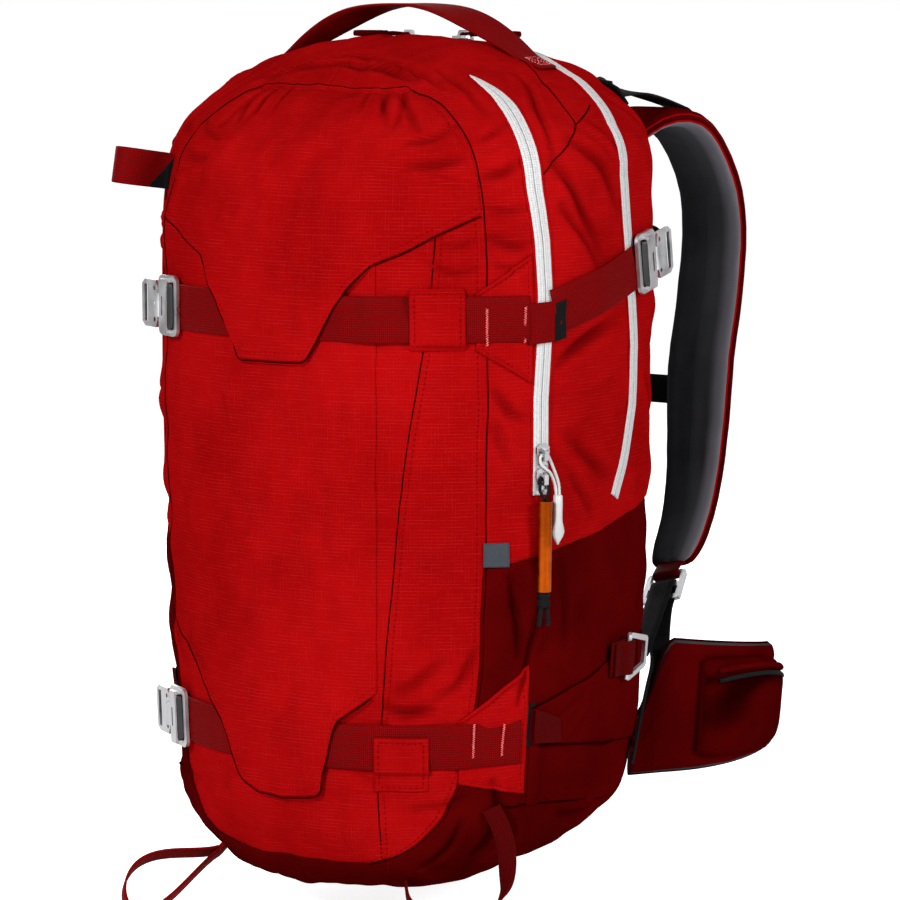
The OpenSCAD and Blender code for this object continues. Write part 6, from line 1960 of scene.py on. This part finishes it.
def pocket_form(share):
    """Distance from the pocket's middle, 0 to 1, and the pocket's depth and height there."""
    k = abs(2 * (share - POCKET_FIRST) / (POCKET_LAST - POCKET_FIRST) - 1)
    full = mix(3, 16, max(0, 1 - k**3) ** 0.6)
    tall = wing_height(share)[0] * 0.8 * mix(0.8, 1, max(0, 1 - k**4) ** 0.5)
    return k, full, tall


def pocket_mesh():
    rings, painted_shades = [], []
    angles = np.linspace(0, np.pi, 41)
    for i in pocket_places(0):
        k, full, tall = pocket_form(wing_share[i])
        z = WING_T / 2 + SEAM + full * np.sin(angles) ** 0.7
        x = tall / 2 * signed_power(np.cos(angles), 0.6)
        seam_line = np.exp(-(((angles - 0.95) / 0.05) ** 2))
        along = wing_run * wing_share[i]
        z = z - 1.8 * seam_line + 0.5 * np.sin(along / 7 + 3 * angles) * np.sin(angles)
        z = z + 1.7 * np.sin(along / 12 + 4 * angles) * np.exp(-(((angles - 1.35) / 0.42) ** 2)) * (1 - k**2)
        ring = wing_middle[i] + wing_side[i] * x[:, None] + wing_out[i] * z[:, None]
        rings.append(np.vstack([ring, ring[:1]]))
        # Painted shade on the pocket: some all over it, more under its zip and in the valleys of its folds
        shade_under_zip = np.exp(-(((angles - 1.12) / 0.16) ** 2))
        fold_shade = np.clip(-np.sin(along / 12 + 4 * angles), 0, 1) * np.exp(-(((angles - 1.4) / 0.4) ** 2))
        painted_shades.append(np.clip(0.25 + 0.6 * shade_under_zip + 0.75 * fold_shade, 0, 0.92))
    painted_shades = np.array(painted_shades)
    return with_painted_shading(tube_mesh(np.array(rings)), np.hstack([painted_shades, painted_shades[:, :1]]))


def pocket_line(angle, lift):
    """A line along the pocket, at an angle round its section."""
    points = []
    for i in pocket_places(0.5 / WING_N):
        k, full, tall = pocket_form(wing_share[i])
        at = angle + 0.25 * k**2
        z = WING_T / 2 + SEAM + full * math.sin(at) ** 0.7 + lift
        points.append(wing_middle[i] + wing_side[i] * tall / 2 * math.cos(at) ** 0.6 + wing_out[i] * z)
    return np.array(points)


def hip_webbing():
    o = WING_PATH[WING_N]
    path, _, n, h = wing_frames(WING_PATH)
    start = o + n[WING_N] * (WING_T * 0.275 + SEAM + WEB_T / 2)
    points = [path[WING_N - 2] + n[WING_N - 2] * (WING_T / 2 + SEAM + WEB_T / 2),
              start + h[WING_N] * 2 + n[WING_N] * 1.5, start + h[WING_N] * 22 + np.array([-4, 0, -5]),
              start + np.array([-38, 44, -16]), start + np.array([-70, 52, -17])]
    return ribbon_mesh(curve(points, 12), np.array([0, 0, 1.0]), 38, WEB_T, 1.8)


wing_rim = wing_side * (wing_h / 2 * 0.985)[:, None]
wing_pipes = join_meshes([cord_mesh(wing_middle + wing_rim * k, PIPE_D, 8) for k in (-1, 1)])
pocket = pocket_mesh()
pocket_zip = cord_mesh(pocket_line(1.0, 0.5), 3.0)
pocket_rim = cord_mesh(pocket_line(0.7, 0.6), 4.4)
hip_strap = hip_webbing()
for side, turn in SIDES:
    body = side + "_wing"
    piece = bag_piece(side + "_wing_pad", turn(tube_mesh(wing_rings)), [DARK, LINING], [side + "_hip_wing"],
                      body, wing_slots)
    bag_piece(side + "_wing_binding", turn(wing_pipes), [SEAM_DARK], (), body)
    bag_piece(side + "_pocket", turn(pocket), [DARK], [side + "_hip_pocket"],
                        body)
    bag_piece(side + "_pocket_zip", turn(pocket_zip), [BLACK_CORD], (), body)
    bag_piece(side + "_pocket_rim", turn(pocket_rim), [DARK], (), body)
    bag_piece(side + "_hip_strap", turn(hip_strap), [BLACK_WEB], [side + "_hip_webbing"],
              body)

# Black sheet in the strap window of each buckle, which hides the webbing's turn and stands for the shade in
# the window (painted shade)


def window_shade_sheet(f):
    a = np.linspace(0, 2 * np.pi, 41)
    x = 16.6 + 2.1 * signed_power(np.cos(a), 0.4)
    y = 14.2 * signed_power(np.sin(a), 0.25)
    # It slopes from the cover's edge down to the frame
    slope = (18.7 - x) / 4.2 * (FOLD_Z + WEB_T / 2 - FRAME_T / 2 + 0.3)
    rings = []
    for height, share in ((-0.3, 0.9), (0.2, 1.0), (0.6, 1.0), (0.8, 0.9)):
        ring = np.stack([16.6 + (x - 16.6) * share, y * share, FRAME_T / 2 + 0.1 + height + slope], -1)
        rings.append(in_axes(f, ring))
    return tube_mesh(np.array(rings))


for name, f in (("upper_left_buckle", UPPER_AXES), ("lower_left_buckle", LOWER_AXES),
                ("rear_right_buckle", REAR_AXES)):
    bag_piece(name + "_window_shade", window_shade_sheet(f), [BLACK_PLASTIC], (), name)

# Zip pulls

SLIDER_LIFT = TAPE_LIFT + TAPE_T + SEAM
BAIL_Z = 1.7 + (4.2 - 1.5) / 2
CORD_D = 1.9
TUBE_START = -13
TUBE_L = 56
TUBE_Z = BAIL_Z + 1.6


def slider_axes(a, t):
    n = bag_normal(a, t)
    x = unit(np.cross([0, 0, 1], n))
    return bag(a, t) + n * SLIDER_LIFT, x, np.cross(n, x), n


def bail_loop(y):
    d = np.sign(y)
    return [(-3, y, BAIL_Z + 0.6), (-3, y * 0.5, BAIL_Z + 0.3), (-3, d * 2.4, BAIL_Z),
            (-2.65, d * 0.9, BAIL_Z), (-1.7, 0, BAIL_Z), (1.7, 0, BAIL_Z), (2.65, d * 0.9, BAIL_Z),
            (3, d * 2.4, BAIL_Z), (3, y * 0.5, BAIL_Z + 0.3), (3, y, BAIL_Z + 0.6)]


ORANGE_AXES = slider_axes(FRONT_ZIP, 0.497)
WHITE_AXES = slider_axes(FRONT_ZIP, 0.497 + 15 / BAG_H)


def spun(f, base, axis, profile, sides=20):
    """A turned shape along an axis, from distances along it and radii."""
    along = np.array(axis, float)
    u = unit(np.cross(along, [0.3, 0.9, 0.2]))
    v = np.cross(along, u)
    a = np.linspace(0, 2 * np.pi, sides + 1)
    ring = u * np.cos(a)[:, None] + v * np.sin(a)[:, None]
    rings = [np.array(base) + along * z + ring * r for z, r in profile]
    points, faces, uv = tube_mesh(np.array(rings))
    return in_axes(f, points), faces, uv


def tube_cord_mesh():
    loop = [(-1.15, TUBE_START - 4, TUBE_Z), (-1.2, TUBE_START + 1.5, TUBE_Z - 0.2)]
    loop = loop + bail_loop(TUBE_START + 6)
    loop += [(1.2, TUBE_START + 1.5, TUBE_Z - 0.2), (1.15, TUBE_START - 4, TUBE_Z)]
    cord = cord_mesh(in_axes(ORANGE_AXES, curve(loop, 6)), CORD_D)
    core = spun(ORANGE_AXES, (0, TUBE_START - 3, TUBE_Z), (0, -1, 0),
                [(0, 1.2), (0.5, 2.1), (54, 2.1), (TUBE_L - 0.5, 2.0)])
    end = TUBE_START - TUBE_L - SEAM
    knot = spun(ORANGE_AXES, (0, end, TUBE_Z), (0, -1, 0),
                [(0, 1.5), (0.4, 3.2), (1.6, 3.9), (3.0, 3.6), (3.8, 3.1), (4.6, 3.7), (6.4, 4.3),
                 (8.2, 4.1), (9.4, 3.2), (10, 1.4)])
    tails = []
    for s in (-1, 1):
        tail = [(s * 1.6, end - 7, TUBE_Z), (s * 2.0, end - 10, TUBE_Z), (s * 2.8, end - 15, TUBE_Z + 0.3),
                (s * 3.4, end - 21, TUBE_Z)]
        tails.append(cord_mesh(in_axes(ORANGE_AXES, curve(tail, 6)), 3.0))
    return join_meshes([cord, core, knot] + tails)


bag_piece("tube_cord_loop", tube_cord_mesh(), [BLACK_CORD], ["tube_cord"], "tube")

PULL_X, PULL_Y = 9.5, -25


def moulded_pull_mesh():
    z = BAIL_Z + 1
    loop = [(PULL_X - 1, PULL_Y - 3, z), (PULL_X - 2, PULL_Y + 6, BAIL_Z + 0.8), (4.6, -12, BAIL_Z + 0.5),
            (1.2, -8.6, BAIL_Z + 0.4), (-2.3, -5.6, BAIL_Z + 0.2), (-3, -2.4, BAIL_Z),
            (-2.65, -0.9, BAIL_Z), (-1.7, 0, BAIL_Z), (1.7, 0, BAIL_Z), (2.8, -0.9, BAIL_Z),
            (4.6, -4.4, BAIL_Z + 0.2), (8, -12, BAIL_Z + 0.4), (PULL_X + 0.6, PULL_Y + 6, BAIL_Z + 0.8),
            (PULL_X + 1, PULL_Y - 3, z)]
    cord = cord_mesh(in_axes(WHITE_AXES, curve(loop, 5)), CORD_D)
    outline = [(0, 2.0), (0.6, 2.6), (6, 2.7), (12, 2.6), (17, 2.9), (20, 3.9), (23, 4.5), (26, 3.4),
               (29.4, 1.1), (30.8, 0.3)]
    rings = []
    a = np.linspace(0, 2 * np.pi, 25)
    for y, half in outline:
        thick = 2.3 if y > 0 else 1.6
        if y > 24:
            thick = 2.3 - (y - 24) * 0.2
        ribs = 0.25 * math.cos(y * 2.2) if 3 < y < 17 else 0
        x = signed_power(np.cos(a), 0.7) * half
        h = signed_power(np.sin(a), 0.6) * (thick + ribs)
        rings.append(np.stack([PULL_X + x, np.full_like(x, PULL_Y - y), z + h], -1))
    points, faces, uv = tube_mesh(np.array(rings))
    return join_meshes([cord, (in_axes(WHITE_AXES, points), faces, uv)])


bag_piece("moulded_pull_body", moulded_pull_mesh(), [WHITE_PLASTIC], ["moulded_pull"],
          "moulded_pull")


def top_axes():
    at = [q for q in main_zip_half() if bag(*q)[0] > 17][-1]
    n0 = bag_normal(*at)
    y = np.array([1.0, 0, 0])
    n = unit(n0 - y * (y @ n0))
    return bag(*at) + n0 * (SLIDER_LIFT + 0.25), np.cross(y, n), y, n


TOP_AXES = top_axes()


def top_pull_mesh():
    loop = [(-1.15, 18, BAIL_Z + 0.6)] + bail_loop(11) + [(1.15, 18, BAIL_Z + 0.6)]
    cord = cord_mesh(in_axes(TOP_AXES, curve(loop, 6)), CORD_D)
    bead = spun(TOP_AXES, (0, 16, BAIL_Z + 0.6), (0, 1, 0),
                [(0, 1.2), (0.5, 1.9), (2, 2.1), (3, 1.8), (4, 2.1), (8, 2.1), (16, 2.1), (22, 2.1),
                 (25.4, 1.9), (26, 1.0)])
    return join_meshes([cord, bead])


for side, turn in SIDES:
    body = side + "_top_pull"
    bag_piece(side + "_top_cord", turn(top_pull_mesh()), [SEAM_SHADE], [body], body)

# CAD parts that stay: their finish and their broken edges

FINISH = {"catch_plates": SILVER, "upper_left_frame": SILVER, "lower_left_frame": SILVER,
          "rear_right_frame": SILVER, "side_ring": SILVER, "frame_stays": SILVER,
          "right_ladder_lock": SILVER, "left_ladder_lock": SILVER, "sternum_rails": BLACK_PLASTIC,
          "sternum_buckle": BLACK_PLASTIC, "hip_buckle_tongue": BLACK_PLASTIC,
          "hip_buckle_socket": BLACK_PLASTIC, "frame_sheet": BLACK_PLASTIC, "tool_divider": DARK,
          "orange_slider": SLIDER, "white_slider": SLIDER, "right_top_slider": SLIDER,
          "left_top_slider": SLIDER, "tube_pull": ORANGE}
EDGE = {"tube_pull": 0.35, "orange_slider": 0.3, "white_slider": 0.3, "right_top_slider": 0.3,
        "left_top_slider": 0.3}
for name, material in FINISH.items():
    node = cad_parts[name]
    node.data.materials.clear()
    node.data.materials.append(material)
    if name in ("tool_divider", "frame_sheet"):
        continue
    edge = node.modifiers.new("broken_edges", "BEVEL")
    edge.width = EDGE.get(name, 0.55) * MM
    edge.segments = 3
    edge.limit_method = "ANGLE"
    edge.angle_limit = math.radians(40)
    edge.harden_normals = True

# Studio

AIM = Vector((0.0274, -0.1016, 0.1544))
AZIMUTH, ELEVATION = math.radians(30), math.radians(7.5)
back = Vector((math.sin(AZIMUTH) * math.cos(ELEVATION), -math.cos(AZIMUTH) * math.cos(ELEVATION),
               math.sin(ELEVATION)))
right_hand = Vector((math.cos(AZIMUTH), math.sin(AZIMUTH), 0))
upward = back.cross(right_hand)
DISTANCE = 2.3

camera_data = bpy.data.cameras.new("camera")
camera_data.sensor_width = 36
camera_data.sensor_fit = "HORIZONTAL"
camera_data.lens = 36 * DISTANCE / 0.5805
camera_data.clip_start = 0.05
camera = bpy.data.objects.new("camera", camera_data)
bpy.context.scene.collection.objects.link(camera)
camera.location = AIM + back * DISTANCE
camera.rotation_euler = back.to_track_quat("Z", "Y").to_euler()
bpy.context.scene.camera = camera


def lamp(name, place, size, power):
    data = bpy.data.lights.new(name, "AREA")
    data.shape = "DISK"
    data.size = size
    data.energy = power
    item = bpy.data.objects.new(name, data)
    bpy.context.scene.collection.objects.link(item)
    item.location = AIM + place
    item.rotation_euler = place.to_track_quat("Z", "Y").to_euler()


lamp("key", back * 1.9 - right_hand * 1.0 + upward * 0.75, 0.6, 42)
lamp("fill", back * 1.5 + right_hand * 1.7 + upward * 0.75, 0.8, 36)
lamp("top", upward * 1.9 - back * 0.5, 1.3, 2)
lamp("rear", -back * 1.6 - right_hand * 0.9 + upward * 1.0, 1.3, 28)

world = bpy.data.worlds.new("studio")
bpy.context.scene.world = world
world.use_nodes = True
tree = world.node_tree
tree.nodes.clear()
rays = tree.nodes.new("ShaderNodeLightPath")
seen = tree.nodes.new("ShaderNodeMath")
seen.operation = "MAXIMUM"
tree.links.new(rays.outputs["Is Camera Ray"], seen.inputs[0])
tree.links.new(rays.outputs["Is Transmission Ray"], seen.inputs[1])
soft = tree.nodes.new("ShaderNodeBackground")
soft.inputs["Color"].default_value = (1, 1, 1, 1)
soft.inputs["Strength"].default_value = 0.17
white = tree.nodes.new("ShaderNodeBackground")
white.inputs["Color"].default_value = (1, 1, 1, 1)
white.inputs["Strength"].default_value = 1.0
glossy = tree.nodes.new("ShaderNodeMath")
glossy.operation = "MAXIMUM"
tree.links.new(seen.outputs[0], glossy.inputs[0])
tree.links.new(rays.outputs["Is Glossy Ray"], glossy.inputs[1])
both_lights = tree.nodes.new("ShaderNodeMixShader")
tree.links.new(glossy.outputs[0], both_lights.inputs["Fac"])
tree.links.new(soft.outputs[0], both_lights.inputs[1])
tree.links.new(white.outputs[0], both_lights.inputs[2])
out = tree.nodes.new("ShaderNodeOutputWorld")
tree.links.new(both_lights.outputs[0], out.inputs["Surface"])
bpy.context.scene.view_settings.view_transform = "Standard"


def floor_material():
    """White paper that keeps the object's shadow: white to the camera where nothing shades it."""
    m = Shader("floor_paper").set(Roughness=0.9, Specular_IOR_Level=0.1)
    grain = m.noise(m.place(), 90, 3)
    m.colour(m.blend(m.ramp(grain, 0.3, 0.7), (0.93, 0.93, 0.93), (0.96, 0.96, 0.96)))
    rays = m.node("ShaderNodeLightPath")
    glow = m.node("ShaderNodeEmission")
    glow.inputs["Color"].default_value = (1, 1, 1, 1)
    glow.inputs["Strength"].default_value = 0.85
    total = m.node("ShaderNodeAddShader")
    m.link(m.main.outputs[0], total.inputs[0])
    m.link(glow.outputs[0], total.inputs[1])
    pick = m.node("ShaderNodeMixShader")
    m.link(rays.outputs["Is Camera Ray"], pick.inputs["Fac"])
    m.link(m.main.outputs[0], pick.inputs[1])
    m.link(total.outputs[0], pick.inputs[2])
    m.link(pick.outputs[0], m.tree.nodes["Material Output"].inputs["Surface"])
    return m.material


low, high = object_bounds()
half = 60
ground = low[2] - 0.001
floor = make_object("floor", np.array([(-half, -half, ground), (half, -half, ground), (half, half, ground),
                                       (-half, half, ground)]) / MM, [[0, 1, 2, 3]], None,
                    [floor_material()])
